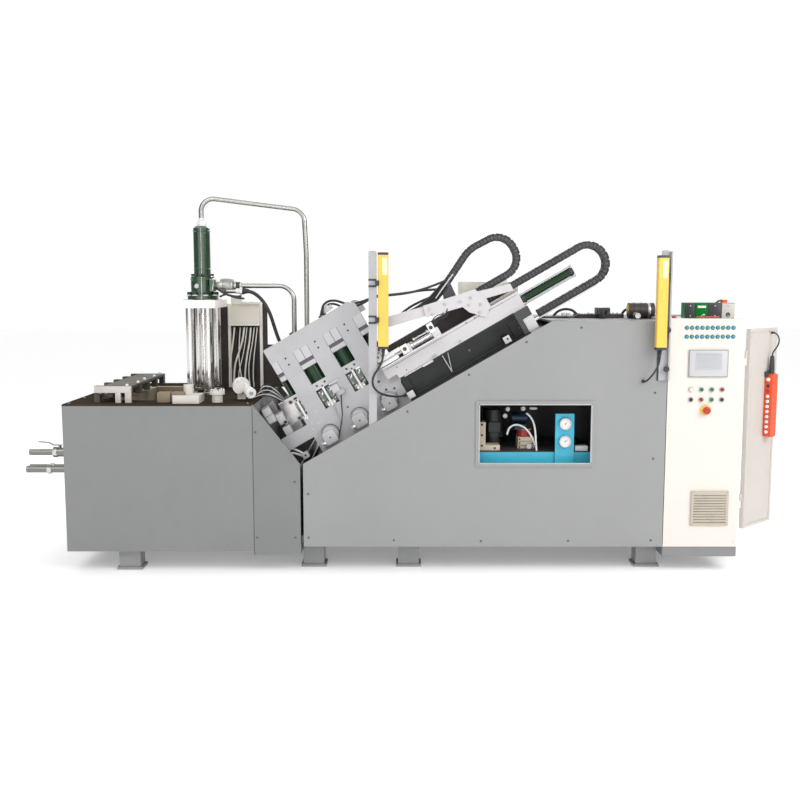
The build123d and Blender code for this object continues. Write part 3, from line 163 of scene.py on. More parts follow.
def ramp(tree, value, stops):
    """Colour ramp between two (place, colour) stops."""
    made = node(tree, "ValToRGB", {"Fac": value})
    for element, (place, colour) in zip(made.color_ramp.elements, stops):
        element.position, element.color = place, (*colour, 1)
    return made.outputs["Color"]


print("nodes can be added by their kind, such as TexNoise")

# %% [markdown]
# ## Light
# A machine shop has large windows and rows of lamps, so its light is broad and soft. Three
# big area lamps and a white hall give that: one from the upper left in front, one from the
# right, and one from behind for the floor and the pipes' edges. A narrow lamp by the camera
# puts one bright line on every cylinder. The hall is darker to both sides, so that the chrome
# columns and the pipes get dark edges and a white middle. The camera itself sees plain white
# behind the machine.

# %% Sky and lamps
world = bpy.data.worlds.new("hall")
world.use_nodes = True
sky = world.node_tree
spot = node(sky, "TexCoord", {}).outputs["Generated"]
sideways = node(sky, "SeparateXYZ", {0: spot}).outputs["X"]
amount = node(sky, "Math", {0: sideways}, operation="ABSOLUTE").outputs[0]
walls = ramp(sky, amount, [(0.46, (1, 1, 1)), (0.78, (0.16, 0.16, 0.17))])
seen = node(sky, "LightPath", {}).outputs["Is Camera Ray"]
plain = node(sky, "Mix", {"Factor": seen, "A": walls, "B": (1, 1, 1, 1)}, data_type="RGBA")
wire(sky, sky.nodes["Background"], {"Color": plain.outputs["Result"], "Strength": 1.03})
bpy.context.scene.world = world
bpy.context.scene.view_settings.view_transform = "Standard"


def lamp(name, place, aim, size, power):
    """Area lamp of the given size in metres, turned from its place to what it lights."""
    data = bpy.data.lights.new(name, "AREA")
    data.shape = "RECTANGLE"
    data.size, data.size_y = size
    data.energy = power
    unit = bpy.data.objects.new(name, data)
    unit.location = place
    unit.rotation_euler = (Vector(aim) - Vector(place)).to_track_quat("-Z", "Y").to_euler()
    bpy.context.collection.objects.link(unit)
    print(name, "gives", power, "W")


lamp("window_light", (-3.2, -4.5, 4.6), (0, 0, 0.9), (3.5, 2.5), 64)
lamp("right_light", (4.2, -3.6, 3.6), (0.4, 0, 0.9), (3.0, 2.5), 150)
lamp("rear_light", (0.5, 4.2, 4.2), (0, 0, 1.0), (4.0, 2.0), 110)
lamp("strip_light", (-1.3, -7.2, 2.4), (0, 0, 1.2), (0.3, 4.5), 42)

# %% [markdown]
# ## Meshes from arrays
# Every added piece is a stack of closed rings: a nut is a hexagon carried upwards, a knob is
# a circle whose radius changes, a cover is a rounded rectangle that shrinks at its edge. One
# function turns such stacks into a mesh, on as many faces of the machine as needed.


# %% Rings to a mesh
SHARP = math.radians(32)  # edges that bend more than this stay hard


def solid(name, stacks, finish, body="machine", slot=None, replaces=()):
    """Mesh of closed stacks: point (k, r, m) = origin k + ring point (r, m) along the face's
    three directions; quads join ring r to r + 1 and a flat cap closes each end."""
    points, corners, totals, base = [], [], [], 0
    for rings, faces in stacks:
        faces = faces if isinstance(faces, list) else [faces]
        rings = np.asarray(rings, float)
        origin = np.array([f[0] for f in faces], float)
        axes = np.array([f[1] for f in faces], float)
        placed = np.einsum("rmi,kij->krmj", rings, axes) + origin[:, None, None]
        k, r, m = placed.shape[:3]
        index = np.arange(k * r * m).reshape(k, r, m) + base
        after = np.roll(index, -1, axis=2)
        walls = np.stack([index[:, :-1], after[:, :-1], after[:, 1:], index[:, 1:]], axis=-1)
        points.append(placed.reshape(-1, 3))
        corners += [walls.reshape(-1), index[:, 0, ::-1].reshape(-1), index[:, -1].reshape(-1)]
        totals += [np.full(k * (r - 1) * m, 4), np.full(2 * k, m)]
        base += k * r * m
    points, corners, totals = np.concatenate(points), np.concatenate(corners), np.concatenate(totals)
    mesh = bpy.data.meshes.new(name)
    mesh.vertices.add(len(points))
    mesh.vertices.foreach_set("co", points.ravel())
    mesh.loops.add(len(corners))
    mesh.loops.foreach_set("vertex_index", corners)
    mesh.polygons.add(len(totals))
    mesh.polygons.foreach_set("loop_start", np.cumsum(totals) - totals)
    mesh.polygons.foreach_set("loop_total", totals)
    mesh.update(calc_edges=True)
    mesh.validate()
    mesh.polygons.foreach_set("use_smooth", np.ones(len(mesh.polygons), bool))
    mesh.set_sharp_from_angle(angle=SHARP)
    piece = bpy.data.objects.new(name, mesh)
    bpy.context.collection.objects.link(piece)
    piece.data.materials.append(FINISH[finish])
    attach(piece, body)
    if replaces:
        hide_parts(*replaces)
    print(name, "has", len(totals), "faces")


def place(name, rings, faces, finish, body="machine", **more):
    """Piece made of one stack, set on one face or on each of a list of faces."""
    solid(name, [(rings, faces)], finish, body, **more)


print("edges that bend more than", round(math.degrees(SHARP)), "degrees stay hard")


# %% [markdown]
# The shapes themselves are only lists of rings. Nearly all small parts of a machine are one
# of these: turned, pressed from sheet, a nut, a screw, a peg with a chamfer, or a ring.

# %% Shapes
def turned(profile, sides=28, turn=0.0):
    """Solid of revolution: for each (radius, height) a ring of that radius at that height."""
    r, c = np.array(profile, float).T[:, :, None]
    t = turn + np.arange(sides) * 2 * np.pi / sides
    return np.stack(np.broadcast_arrays(r * np.cos(t), r * np.sin(t), c), axis=-1)


def rounded(width, height, corner, steps=4):
    """Rounded rectangle: quarter circles of the corner radius about its four inner corners."""
    t = np.linspace(0, np.pi / 2, steps)[None, :] + np.arange(4)[:, None] * np.pi / 2
    side = np.array([[1, 1], [-1, 1], [-1, -1], [1, -1]])[:, None, :]
    inner = side * (np.array([width, height]) / 2 - corner)
    return (inner + corner * np.stack([np.cos(t), np.sin(t)], axis=-1)).reshape(-1, 2)


def pressed(outline, start, end, edge=0.002, steps=3):
    """Prism of an outline whose front edge is a quarter circle: inset e(1 - cos t), rise e sin t."""
    outline = np.asarray(outline, float)
    middle = (outline.max(0) + outline.min(0)) / 2
    half = (outline.max(0) - outline.min(0)) / 2
    t = np.linspace(0, np.pi / 2, steps)
    inset = np.r_[0, edge * (1 - np.cos(t))]
    height = np.r_[start, end - edge + edge * np.sin(t)]
    flat = middle + (outline - middle) * (1 - inset[:, None] / half)[:, None]
    return np.concatenate([flat, np.broadcast_to(height[:, None, None], flat.shape[:2] + (1,))], axis=-1)


def plate(width, height, end, corner=0.004, edge=0.002, steps=3, start=0.0):
    """Rounded cover of the given size that stands from start to end out of its face."""
    return pressed(rounded(width, height, corner), start, end, edge, steps)


def nut(across_flats, height):
    """Hexagon nut or bolt head with a turned chamfer."""
    r = across_flats / math.sqrt(3)
    return turned([(r, 0), (r, height * 0.76), (r * 0.88, height)], sides=6, turn=math.pi / 6)


def cap_screw(radius, height):
    """Socket screw: a round head with a smaller pit in its top."""
    r, h = radius, height
    return turned([(r, 0), (r, h * 0.85), (r * 0.9, h), (r * 0.55, h), (r * 0.5, h * 0.4)], 16)


def disc(radius, height, sides):
    """Plain cylinder on its face."""
    return turned([(radius, 0), (radius, height)], sides)


def peg(radius, height, tip, end, sides):
    """Cylinder up to a height, then a chamfer to the tip's radius at its end."""
    return turned([(radius, 0), (radius, height), (tip, end)], sides)


def band(inner, outer, height, sides):
    """Collar around a cylinder, with 2 mm chamfers on both edges."""
    return turned([(inner, 0), (outer, 0.002), (outer, height), (inner, height + 0.002)], sides)


def rim(outer, inner, height, floor=0.0006):
    """Ring that stands on its face with a sunk floor inside it."""
    ring = [(outer, 0), (outer, height * 0.8), (outer - height * 0.2, height), (inner, height),
            (inner, floor)]
    return turned(ring, 32)


print("an M12 nut has", len(nut(0.019, 0.01)[0]), "corners on", len(nut(0.019, 0.01)), "rings")

# %% [markdown]
# ## Finishes
# Sprayed machine paint is never one flat colour: it is a little uneven, dull where hands and
# oil have been, and the sheet under it is not quite flat. Each finish mixes two close tones
# by noise on the object's own coordinates, varies the roughness with a finer noise and adds
# a slight bump.


# %% Paint, metal, rubber
def shade_nodes(name):
    """New material and its tree, with the shader and the object coordinates at hand."""
    material = bpy.data.materials.new(name)
    material.use_nodes = True
    tree = material.node_tree
    shader = tree.nodes["Principled BSDF"]
    spot = tree.nodes.new("ShaderNodeTexCoord").outputs["Object"]
    return material, tree, shader, spot


def noise(tree, spot, scale, detail=4.0, stretch=None):
    """Noise value at a scale per metre, on stretched coordinates for brushed lines."""
    if stretch:
        spot = node(tree, "Mapping", {"Vector": spot, "Scale": stretch}).outputs["Vector"]
    return node(tree, "TexNoise", {"Vector": spot, "Scale": scale, "Detail": detail}).outputs["Fac"]


def spread(tree, value, low, high):
    """Value from 0.3 to 0.7 spread over another range."""
    ends = {"From Min": 0.3, "From Max": 0.7, "To Min": low, "To Max": high}
    return node(tree, "MapRange", {"Value": value, **ends}).outputs["Result"]


def bump(tree, shader, value, strength, distance):
    """Bump of a value, on top of any bump the shader already has."""
    inputs = {"Strength": strength, "Distance": distance, "Height": value}
    if shader.inputs["Normal"].links:
        inputs["Normal"] = shader.inputs["Normal"].links[0].from_socket
    wire(tree, shader, {"Normal": node(tree, "Bump", inputs).outputs["Normal"]})


def painted(name, colour, rough=0.42, uneven=0.05, stain=0.0, gloss=0.5, wave=0.0, grain=240):
    """Sprayed paint: two tones by a wide noise, stains by a second one, fine orange peel."""
    material, tree, shader, spot = shade_nodes(name)
    colour = np.array(colour)
    wide = noise(tree, spot, 1.7, 5.0)
    tones = ramp(tree, wide, [(0.3, colour * (1 - uneven)), (0.7, np.minimum(colour * (1 + uneven), 1))])
    if stain:
        patch = ramp(tree, noise(tree, spot, 9, 8.0), [(0.52, (0, 0, 0)), (0.78, (1, 1, 1))])
        share = node(tree, "Math", {0: patch, 1: stain}, operation="MULTIPLY").outputs[0]
        dark = {"Factor": share, "A": tones, "B": (*(colour * 0.35), 1)}
        tones = node(tree, "Mix", dark, data_type="RGBA").outputs["Result"]
    dull = spread(tree, noise(tree, spot, 14, 6.0), rough - 0.07, rough + 0.09)
    wire(tree, shader, {"Base Color": tones, "Specular IOR Level": gloss, "Roughness": dull})
    bump(tree, shader, noise(tree, spot, grain, 2.0), 0.06, 0.0006)
    if wave:
        bump(tree, shader, noise(tree, spot, 3.0, 1.0), 0.5, wave)
    return material


def bare_metal(name, colour, rough=0.3, stretch=(1, 1, 40), scale=30, marks=0.12, groove=0.08, haze=0.06):
    """Machined or drawn metal: lines of noise stretched along the way it was worked."""
    material, tree, shader, spot = shade_nodes(name)
    colour = np.array(colour)
    lines = noise(tree, spot, scale, 6.0, stretch)
    tones = ramp(tree, lines,
                 [(0.25, colour * (1 - marks)), (0.75, np.minimum(colour * (1 + marks / 2), 1))])
    dull = spread(tree, lines, rough - haze, rough + 1.6 * haze)
    wire(tree, shader, {"Metallic": 1.0, "Base Color": tones, "Roughness": dull})
    if groove:
        bump(tree, shader, lines, groove, 0.0005)
    return material


def soft_black(name, colour=(0.018, 0.018, 0.02), rough=0.55, scale=90):
    """Rubber or moulded plastic: near black, a little dusty, with a fine grain."""
    material, tree, shader, spot = shade_nodes(name)
    colour = np.array(colour)
    tones = ramp(tree, noise(tree, spot, 12, 6.0), [(0.35, colour), (0.75, colour * 1.9 + 0.01)])
    dull = spread(tree, noise(tree, spot, 40, 3.0), rough - 0.1, rough + 0.1)
    wire(tree, shader, {"Base Color": tones, "Roughness": dull})
    bump(tree, shader, noise(tree, spot, scale, 3.0), 0.15, 0.0006)
    return material


def lacquered(material, ior, rough):
    """Hard clear coat: its index sets how strongly the hall shows in it, (n-1)^2/(n+1)^2."""
    tree = material.node_tree
    coat = {"Coat Weight": 1.0, "Coat IOR": ior, "Coat Roughness": rough}
    wire(tree, tree.nodes["Principled BSDF"], coat)


print("three kinds of finish: paint, bare metal and soft black")

# %% [markdown]
# ## The colours of the machine
# The body is mid grey, the die head and the beam a paler grey with a touch of lavender, the
# hydraulic cylinders dark green, the cabinet warm white and the pendant orange. Each row
# gives a colour, a roughness, how uneven the paint is and how stained. A table is used
# because close greys have to be compared side by side.

# %% The finishes
# name: colour, roughness, unevenness, stain, gloss, waves of the sheet, grain
PAINTS = {
    "body_grey": ((0.275, 0.28, 0.277), 0.46, 0.035, 0.05, 0.5, 0.0012),
    "casing_grey": ((0.21, 0.216, 0.212), 0.46, 0.035, 0.05, 0.5, 0.0012),
    "wedge_grey": ((0.195, 0.203, 0.2), 0.46, 0.035, 0.05, 0.5, 0.0012),
    "frame_grey": ((0.1, 0.1, 0.105), 0.5, 0.05, 0.0),
    "head_grey": ((0.43, 0.425, 0.44), 0.4, 0.05, 0.12),
    "plate_grey": ((0.5, 0.49, 0.5), 0.38, 0.05, 0.1),
    "beam_pale": ((0.55, 0.53, 0.54), 0.36, 0.04, 0.06),
    "post_grey": ((0.4, 0.4, 0.41), 0.42, 0.04, 0.05),
    "deck_brown": ((0.05, 0.04, 0.03), 0.85, 0.35, 0.5, 0.0, 0.0, 120),
    "bed_dark": ((0.035, 0.035, 0.038), 0.5, 0.2, 0.3),
    "channel_dark": ((0.018, 0.02, 0.02), 0.4, 0.15, 0.1),
    "oil_green": ((0.002, 0.042, 0.009), 0.25, 0.1, 0.08, 0.3),
    "rod_green": ((0.002, 0.027, 0.006), 0.22, 0.1, 0.08, 0.4),
    "brick_tan": ((0.27, 0.21, 0.145), 0.9, 0.2, 0.35, 0.5, 0.0, 90),
    "heater_dark": ((0.085, 0.073, 0.056), 0.6, 0.25, 0.35),
    "bright_green": ((0.002, 0.15, 0.018), 0.35, 0.08, 0.05, 0.1),
    "warm_white": ((0.68, 0.64, 0.59), 0.4, 0.015, 0.015),
    # painted shade: the door has the cabinet's warm white made about a fifth darker, because its face lies
    # in shade
    "door_cream": ((0.53, 0.495, 0.455), 0.45, 0.03, 0.03),
    "vent_beige": ((0.45, 0.4, 0.33), 0.55, 0.06, 0.15),
    "cream": ((0.86, 0.81, 0.71), 0.5, 0.05, 0.06),
    "valve_beige": ((0.7, 0.6, 0.45), 0.45, 0.06, 0.1),
    "tank_blue": ((0.06, 0.5, 0.68), 0.35, 0.05, 0.06),
    "safety_yellow": ((0.8, 0.54, 0.1), 0.35, 0.04, 0.03, 0.3),
    "pendant_orange": ((0.74, 0.07, 0.012), 0.32, 0.05, 0.03),
    "lever_red": ((0.32, 0.018, 0.02), 0.35, 0.1, 0.1),
    "lever_grey": ((0.3, 0.29, 0.28), 0.4, 0.1, 0.2),
    "port_pale": ((0.64, 0.6, 0.56), 0.45, 0.06, 0.15),
    "heater_pale": ((0.6, 0.56, 0.51), 0.6, 0.12, 0.35),
    "display_grey": ((0.26, 0.27, 0.28), 0.35, 0.03, 0.0),
    "motor_dark": ((0.03, 0.03, 0.035), 0.4, 0.2, 0.15),
    "motor_blue": ((0.006, 0.03, 0.06), 0.35, 0.1, 0.1),
    "brown_dark": ((0.03, 0.022, 0.02), 0.45, 0.2, 0.2),
    "back_brown": ((0.04, 0.028, 0.024), 0.6, 0.25, 0.2),
    "band_violet": ((0.1, 0.085, 0.12), 0.4, 0.08, 0.05),
    "lamp_cyan": ((0.03, 0.3, 0.36), 0.2, 0.05),
    "lamp_cream": ((0.9, 0.8, 0.6), 0.3, 0.05),
    "key_green": ((0.008, 0.15, 0.06), 0.3, 0.05),
    "stop_red": ((0.42, 0.03, 0.03), 0.3, 0.05),
    "screen_pale": ((0.42, 0.43, 0.45), 0.14, 0.08),
    "screen_blue": ((0.38, 0.395, 0.41), 0.2, 0.05),
    "valve_pale": ((0.5, 0.48, 0.45), 0.4, 0.04, 0.04),
    "plinth_dark": ((0.045, 0.047, 0.05), 0.5, 0.1, 0.1),
    "label_yellow": ((0.95, 0.86, 0.5), 0.4, 0.04),
    "light_cream": ((0.95, 0.92, 0.85), 0.45, 0.02, 0.02),
    "chain_pad": ((0.065, 0.064, 0.06), 0.5, 0.15, 0.1),
    "white_paint": ((0.75, 0.75, 0.74), 0.35, 0.03, 0.05),
    "fire_brick": ((0.34, 0.29, 0.19), 0.85, 0.18, 0.3, 0.5, 0.0, 60),
    "pot_iron": ((0.035, 0.03, 0.028), 0.7, 0.3, 0.3, 0.5, 0.0, 90),
}
# name: colour, roughness, stretch of the lines, their scale, marks, groove, haze
METALS = {
    "pipe_dark": ((0.24, 0.23, 0.21), 0.3, (1, 1, 1), 3, 0.04, 0, 0.02),
    "steel": ((0.56, 0.56, 0.57), 0.28),
    "column_steel": ((0.86, 0.84, 0.81), 0.1, (1, 1, 0.05), 3, 0.01, 0, 0.01),
    "pipe_steel": ((0.42, 0.415, 0.39), 0.3, (1, 1, 1), 3, 0.02, 0, 0.01),
    "worn_steel": ((0.42, 0.4, 0.38), 0.42, (1, 1, 6), 40, 0.3),
    "die_steel": ((0.58, 0.55, 0.55), 0.36, (1, 6, 1), 40, 0.2),
    "aluminium": ((0.72, 0.72, 0.74), 0.32, (20, 1, 1), 30),
}
# name: colour, roughness, grain
SOFTS = {
    "hose_rubber": ((0.012, 0.012, 0.013), 0.45),
    "black_plastic": ((0.022, 0.022, 0.024), 0.42, 60),
    "chain_plastic": ((0.014, 0.014, 0.016), 0.55, 120),
}
FINISH = {name: painted(name, *row) for name, row in PAINTS.items()}
FINISH.update({name: bare_metal(name, *row) for name, row in METALS.items()})
FINISH.update({name: soft_black(name, *row) for name, row in SOFTS.items()})
lacquered(FINISH["oil_green"], 2.1, 0.08)
print(len(FINISH), "finishes are ready")

# %% [markdown]
# ## One finish for each solid
# Every solid of the frame gets the finish of the part it is. The small parts added below
# name their finish themselves. One dictionary from finish to solids keeps them in view, so
# that none is forgotten.

# %% Solids and their finishes
coats = {
    "body_grey": ["front_panel", "back_panel", "machine_feet"],
    "casing_grey": ["furnace_casing", "cabinet_plinth"],
    "wedge_grey": ["wedge_cover"],
    "frame_grey": ["housing_frame", "clamp_housing"],
    "deck_brown": ["furnace_deck"],
    "fire_brick": ["furnace_lining"],
    "pot_iron": ["crucible"],
    "heater_dark": ["heater_frames"],
    "port_pale": ["port_fittings"],
    "pipe_steel": ["pressure_pipes"],
    "pipe_dark": ["burner_pipes"],
    "lever_grey": ["valve_lever"],
    "column_steel": ["injector_frame", "plunger_rod", "gripper_rod"],
    "oil_green": ["shot_cylinder"],
    "rod_green": ["clamp_cylinders", "stroke_cylinder"],
    "light_cream": ["junction_frame"],
    "cream": ["rear_cover"],
    "bed_dark": ["bed_plate"],
    "tank_blue": ["oil_tank", "gauge_panel"],
    "motor_dark": ["pump_motor"],
    "valve_beige": ["pump_valves"],
    "brown_dark": ["deck_hydraulics"],
    "back_brown": ["wire_panel", "drive_cover"],
    "head_grey": ["head_plates", "fixed_platen"],
    "plate_grey": ["slot_guides", "guide_discs", "clamp_heads"],
    "die_steel": ["die_set"],
    "beam_pale": ["arm_beam", "take_out_arm"],
    "channel_dark": ["side_channel"],
    "aluminium": ["chain_trough", "gripper_cylinder"],
    "chain_plastic": ["arm_chain", "beam_chain"],
    "post_grey": ["curtain_posts"],
    "safety_yellow": ["light_curtains"],
    "warm_white": ["cabinet_shell"],
    "display_grey": ["display", "panel_controls"],
    "vent_beige": ["vent_grille"],
    "bright_green": ["valve_unit"],
    # the side door gets the darker cream, which is painted shade
    "door_cream": ["side_door"],
    "pendant_orange": ["pendant"],
    "hose_rubber": [
        "pendant_cord", "right_curtain_cord", "left_curtain_cord", "injector_hose", "head_hose", "arm_hose",
    ],
}
for finish, names in coats.items():
    for name in names:
        nodes[name].data.materials.clear()
        nodes[name].data.materials.append(FINISH[finish])
print(sum(len(v) for v in coats.values()), "nodes have a finish")

# %% [markdown]
# ## The floor
# The machine stands in front of white, so the floor is pale, dull and larger than the view.
# It glows a little, which lifts it to white but keeps the soft shadow under the machine.

# %% A pale floor
floor_finish = painted("floor_pale", (0.95, 0.95, 0.95), 0.8, 0.005, grain=40, gloss=0.1)
tree = floor_finish.node_tree
wire(tree, tree.nodes["Principled BSDF"], {"Emission Color": (1, 1, 1, 1), "Emission Strength": 0.22})
corners = np.array([[-1, -1, 0], [1, -1, 0], [1, 1, 0], [-1, 1, 0]], float) * 30
ground = bpy.data.meshes.new("floor")
ground.from_pydata(corners.tolist(), [], [(0, 1, 2, 3)])
floor = bpy.data.objects.new("floor", ground)
floor.data.materials.append(floor_finish)
bpy.context.collection.objects.link(floor)
print("the floor is", round(floor.dimensions.x), "m wide")

# %% [markdown]
# ## Hoses and leads
# A hose leaves its fitting straight, bends under its own weight and meets the next fitting
# straight again. Each is one spline whose control points are its route, with a round bevel.
# A tube of arcs would show its joints, and a spline stays smooth with few points and can be
# measured.


# %% The cords
def hose(name, route, diameter, body):
    """Smooth tube along control points: a NURBS spline of order 3 that starts and ends on its
    first and last point. It stands for the node of the same name without its last word."""
    line = bpy.data.curves.new(name, "CURVE")
    line.dimensions = "3D"
    line.bevel_depth, line.bevel_resolution = diameter / 2, 4
    line.resolution_u, line.use_fill_caps = 10, True
    path = line.splines.new("NURBS")
    path.points.add(len(route) - 1)
    path.points.foreach_set("co", np.c_[np.array(route), np.ones(len(route))].ravel())
    path.order_u, path.use_endpoint_u = 3, True
    piece = bpy.data.objects.new(name, line)
    bpy.context.collection.objects.link(piece)
    line.materials.append(FINISH["hose_rubber"])
    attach(piece, body)
    bare = bpy.data.objects.new("measure", line.copy())
    bare.data.bevel_depth = 0
    drawn = bpy.data.meshes.new_from_object(bare)
    flat = np.empty(len(drawn.vertices) * 3)
    drawn.vertices.foreach_get("co", flat)
    bpy.data.objects.remove(bare)
    return piece


# cord: diameter, the body it rides on and the points of its route
ROUTES = {
    "pendant_cord": (0.008, "door", [
        (2.1007, -0.4139, 1.345), (2.1142, -0.4286, 1.345), (2.1279, -0.4405, 1.331),
        (2.1348, -0.4451, 1.306), (2.1313, -0.4428, 1.278), (2.1174, -0.4366, 1.252),
        (2.1037, -0.432, 1.232), (2.1037, -0.432, 1.215),
    ]),
    "right_curtain_cord": (0.01, "machine", [
        (1.4227, -0.6155, 1.261), (1.4227, -0.6155, 1.225), (1.4157, -0.62, 1.184),
        (1.3977, -0.623, 1.146), (1.3737, -0.62, 1.112), (1.3547, -0.61, 1.09), (1.3467, -0.59, 1.084),
        (1.3467, -0.567, 1.084),
    ]),
    "left_curtain_cord": (0.012, "machine", [
        (-0.0883, -0.5395, 1.261), (-0.0883, -0.5395, 1.212), (-0.1083, -0.562, 1.162),
        (-0.1423, -0.58, 1.118), (-0.1503, -0.582, 1.066), (-0.1203, -0.57, 1.024),
        (-0.0743, -0.532, 1.002), (-0.0263, -0.49, 0.99), (0.0204, -0.464, 0.9881),
        (0.0463, -0.464, 1.0031),
    ]),
    "injector_hose": (0.022, "machine", [
        (-0.9543, 0.07, 1.575), (-0.9103, 0.07, 1.575), (-0.8623, 0.07, 1.547), (-0.8223, 0.07, 1.501),
        (-0.7923, 0.072, 1.441), (-0.7723, 0.076, 1.375), (-0.7543, 0.082, 1.313),
        (-0.7343, 0.088, 1.257), (-0.7043, 0.098, 1.24), (-0.7043, 0.098, 1.194),
    ]),
    "head_hose": (0.014, "machine", [
        (-0.4473, -0.262, 1.44), (-0.4473, -0.262, 1.472), (-0.4383, -0.259, 1.5),
        (-0.4113, -0.254, 1.52), (-0.3723, -0.248, 1.524), (-0.3323, -0.242, 1.512),
        (-0.2933, -0.238, 1.496), (-0.2513, -0.238, 1.49), (-0.2113, -0.242, 1.506),
        (-0.1653, -0.25, 1.535), (-0.1053, -0.258, 1.551), (-0.0303, -0.27, 1.558),
        (0.0497, -0.288, 1.568), (0.1297, -0.312, 1.582), (0.1977, -0.334, 1.586),
        (0.2463, -0.343, 1.5908), (0.2635, -0.343, 1.617),
    ]),
    "arm_hose": (0.014, "machine", [
        (-0.0192, -0.39, 1.4226), (-0.0192, -0.364, 1.4226), (-0.0021, -0.348, 1.4371),
        (0.0285, -0.344, 1.464), (0.0728, -0.348, 1.4953), (0.1302, -0.356, 1.5238),
        (0.1884, -0.362, 1.5471), (0.2283, -0.364, 1.5701), (0.2463, -0.364, 1.5908),
        (0.2635, -0.364, 1.617),
    ]),
}
for name, (diameter, body, route) in ROUTES.items():
    piece = hose(name + "_line", route, diameter, body)
    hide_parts(name)

# %% [markdown]
# Where a cord or hose enters a housing it would bend sharply and break, so a tapered sleeve
# holds it. Each sleeve is turned about the cord's own first or last run. A cone along the
# machine's axes would stand askew where the cord leaves at an angle.

# %% Tapered sleeves at the cords' ends
def sleeve(tip, towards, radius, length):
    """Turned cone on a ring: its axis is the unit vector from tip to the next route point."""
    axis = np.array(towards) - np.array(tip)
    axis = axis / np.linalg.norm(axis)
    side = np.cross(axis, (0.3, 0.5, 0.81))
    side = side / np.linalg.norm(side)
    profile = [(radius * 1.9, -0.002), (radius * 1.9, 0.005), (radius * 1.65, 0.006),
               (radius * 1.15, length)]
    return turned(profile, 20), [(tuple(tip), (tuple(side), tuple(np.cross(axis, side)), tuple(axis)))]


# cord: length of the sleeve at its first and at its last end
SLEEVES = {"pendant_cord": (0.02, 0), "right_curtain_cord": (0.03, 0.02),
           "left_curtain_cord": (0.036, 0.026), "injector_hose": (0.036, 0.036),
           "head_hose": (0.026, 0.026), "arm_hose": (0.024, 0.026)}
for name, ends in SLEEVES.items():
    diameter, body, route = ROUTES[name]
    pairs = [(route[0], route[1], ends[0]), (route[-1], route[-2], ends[1])]
    solid(name + "_sleeves", [sleeve(a, b, diameter / 2, length) for a, b, length in pairs if length],
          "hose_rubber", body)

# %% [markdown]
# ## Helpers for the small parts
# A round bar, a wire or a small pipe is a circle carried along a line. Lines are drawn with
# few corners, and the corners are then cut until they look bent.

# %% Bars along a path
HERE = [((0, 0, 0), ((1, 0, 0), (0, 1, 0), (0, 0, 1)))]


def softened(points, times=3):
    """Corner cutting: each run gives the points at a quarter and three quarters of its length."""
    points = np.asarray(points, float)
    for _ in range(times):
        early = 0.75 * points[:-1] + 0.25 * points[1:]
        late = 0.25 * points[:-1] + 0.75 * points[1:]
        inner = np.stack([early, late], axis=1).reshape(-1, 3)
        points = np.concatenate([points[:1], inner[1:-1], points[-1:]])
    return points


def bar(points, radius, sides=10):
    """Tube along points: p + r(cos t * s + sin t * u), with s and u square to the path."""
    points = np.asarray(points, float)
    along = np.gradient(points, axis=0)
    along /= np.linalg.norm(along, axis=1, keepdims=True)
    guide = np.array([0.31, 0.88, 0.36])
    side = np.cross(along, guide)
    side /= np.linalg.norm(side, axis=1, keepdims=True)
    up = np.cross(side, along)
    t = np.arange(sides) * 2 * np.pi / sides
    ring = np.cos(t)[None, :, None] * side[:, None] - np.sin(t)[None, :, None] * up[:, None]
    return points[:, None] + radius * ring


def tube_at(depth, line, radius, sides=10):
    """Round tube through points given as (X, Z) at one depth behind the front."""
    return bar(softened([(x, FRONT + depth, z) for x, z in line]), radius, sides), HERE


def on_bed(depth, line, radius, sides=8, soft=2):
    """Round tube through points given as (along, above) in the bed's plane at one depth."""
    points = [slope_face(a, b, depth)[0] for a, b in line]
    return bar(softened(points, soft) if soft else np.array(points), radius, sides), HERE


print("a softened corner has", len(softened([(0, 0, 0), (1, 0, 0), (1, 1, 0)])), "points")

# %% [markdown]
# ## The die head
# The slotted side plate carries the clamp units: above each cylinder two pale strips with a
# dark seam between them, a dark band and a white block. Screws show as small dark dots. The
# strips are thin plates over a black one, so that the seams are real gaps.

# %% Strips, bands and blocks in the slots
PLATE = 0.18  # depth of the head plate's front
SLOT_PITCH, SLOT_WIDTH, FIRST_SLOT = 0.1955, 0.093, 0.049
HEAD_LEFT, HEAD_RIGHT = 0.103, 0.693
slot_left = [max(FIRST_SLOT + i * SLOT_PITCH, HEAD_LEFT) for i in range(4)]
slot_right = [min(FIRST_SLOT + i * SLOT_PITCH + SLOT_WIDTH, HEAD_RIGHT) for i in range(4)]
strips, seams, bands, blocks, gaskets = [], [], [], [], []
for left, right in zip(slot_left, slot_right):
    middle, width = (left + right) / 2, right - left
    seams.append((plate(width, 0.07, 0.0008, 0.0005, 0.0002, 2), slope_face(middle, 0.5285, PLATE)))
    count = 2 if width > 0.07 else 1
    for k in range(count):
        spot = left + width * (k + 0.5) / count
        strips.append((plate(width / count - 0.0028, 0.071, 0.0034, 0.001, 0.0006),
                       slope_face(spot, 0.5305, PLATE)))
    bands.append((plate(width, 0.018, 0.006, 0.001, 0.001), slope_face(middle, 0.4845, PLATE + 0.01)))
    blocks.append((plate(width - 0.003, 0.027, 0.011, 0.002, 0.0015),
                   slope_face(middle, 0.4605, PLATE + 0.01)))
    gaskets.append((plate(width, 0.004, 0.0065, 0.001, 0.001), slope_face(middle, 0.4445, PLATE + 0.01)))
solid("slot_strips", strips, "plate_grey")
solid("slot_seams", seams, "black_plastic")
solid("slot_bands", bands, "band_violet")
solid("slot_blocks", blocks, "plate_grey")
solid("slot_gaskets", gaskets, "black_plastic")

# %% [markdown]
# The clamp head under each cylinder is a white block with sunk screws. Below it dark green
# valve blocks flank the white rod, each with small fittings. One loop over the slots sets
# them all, because the units differ only in width.

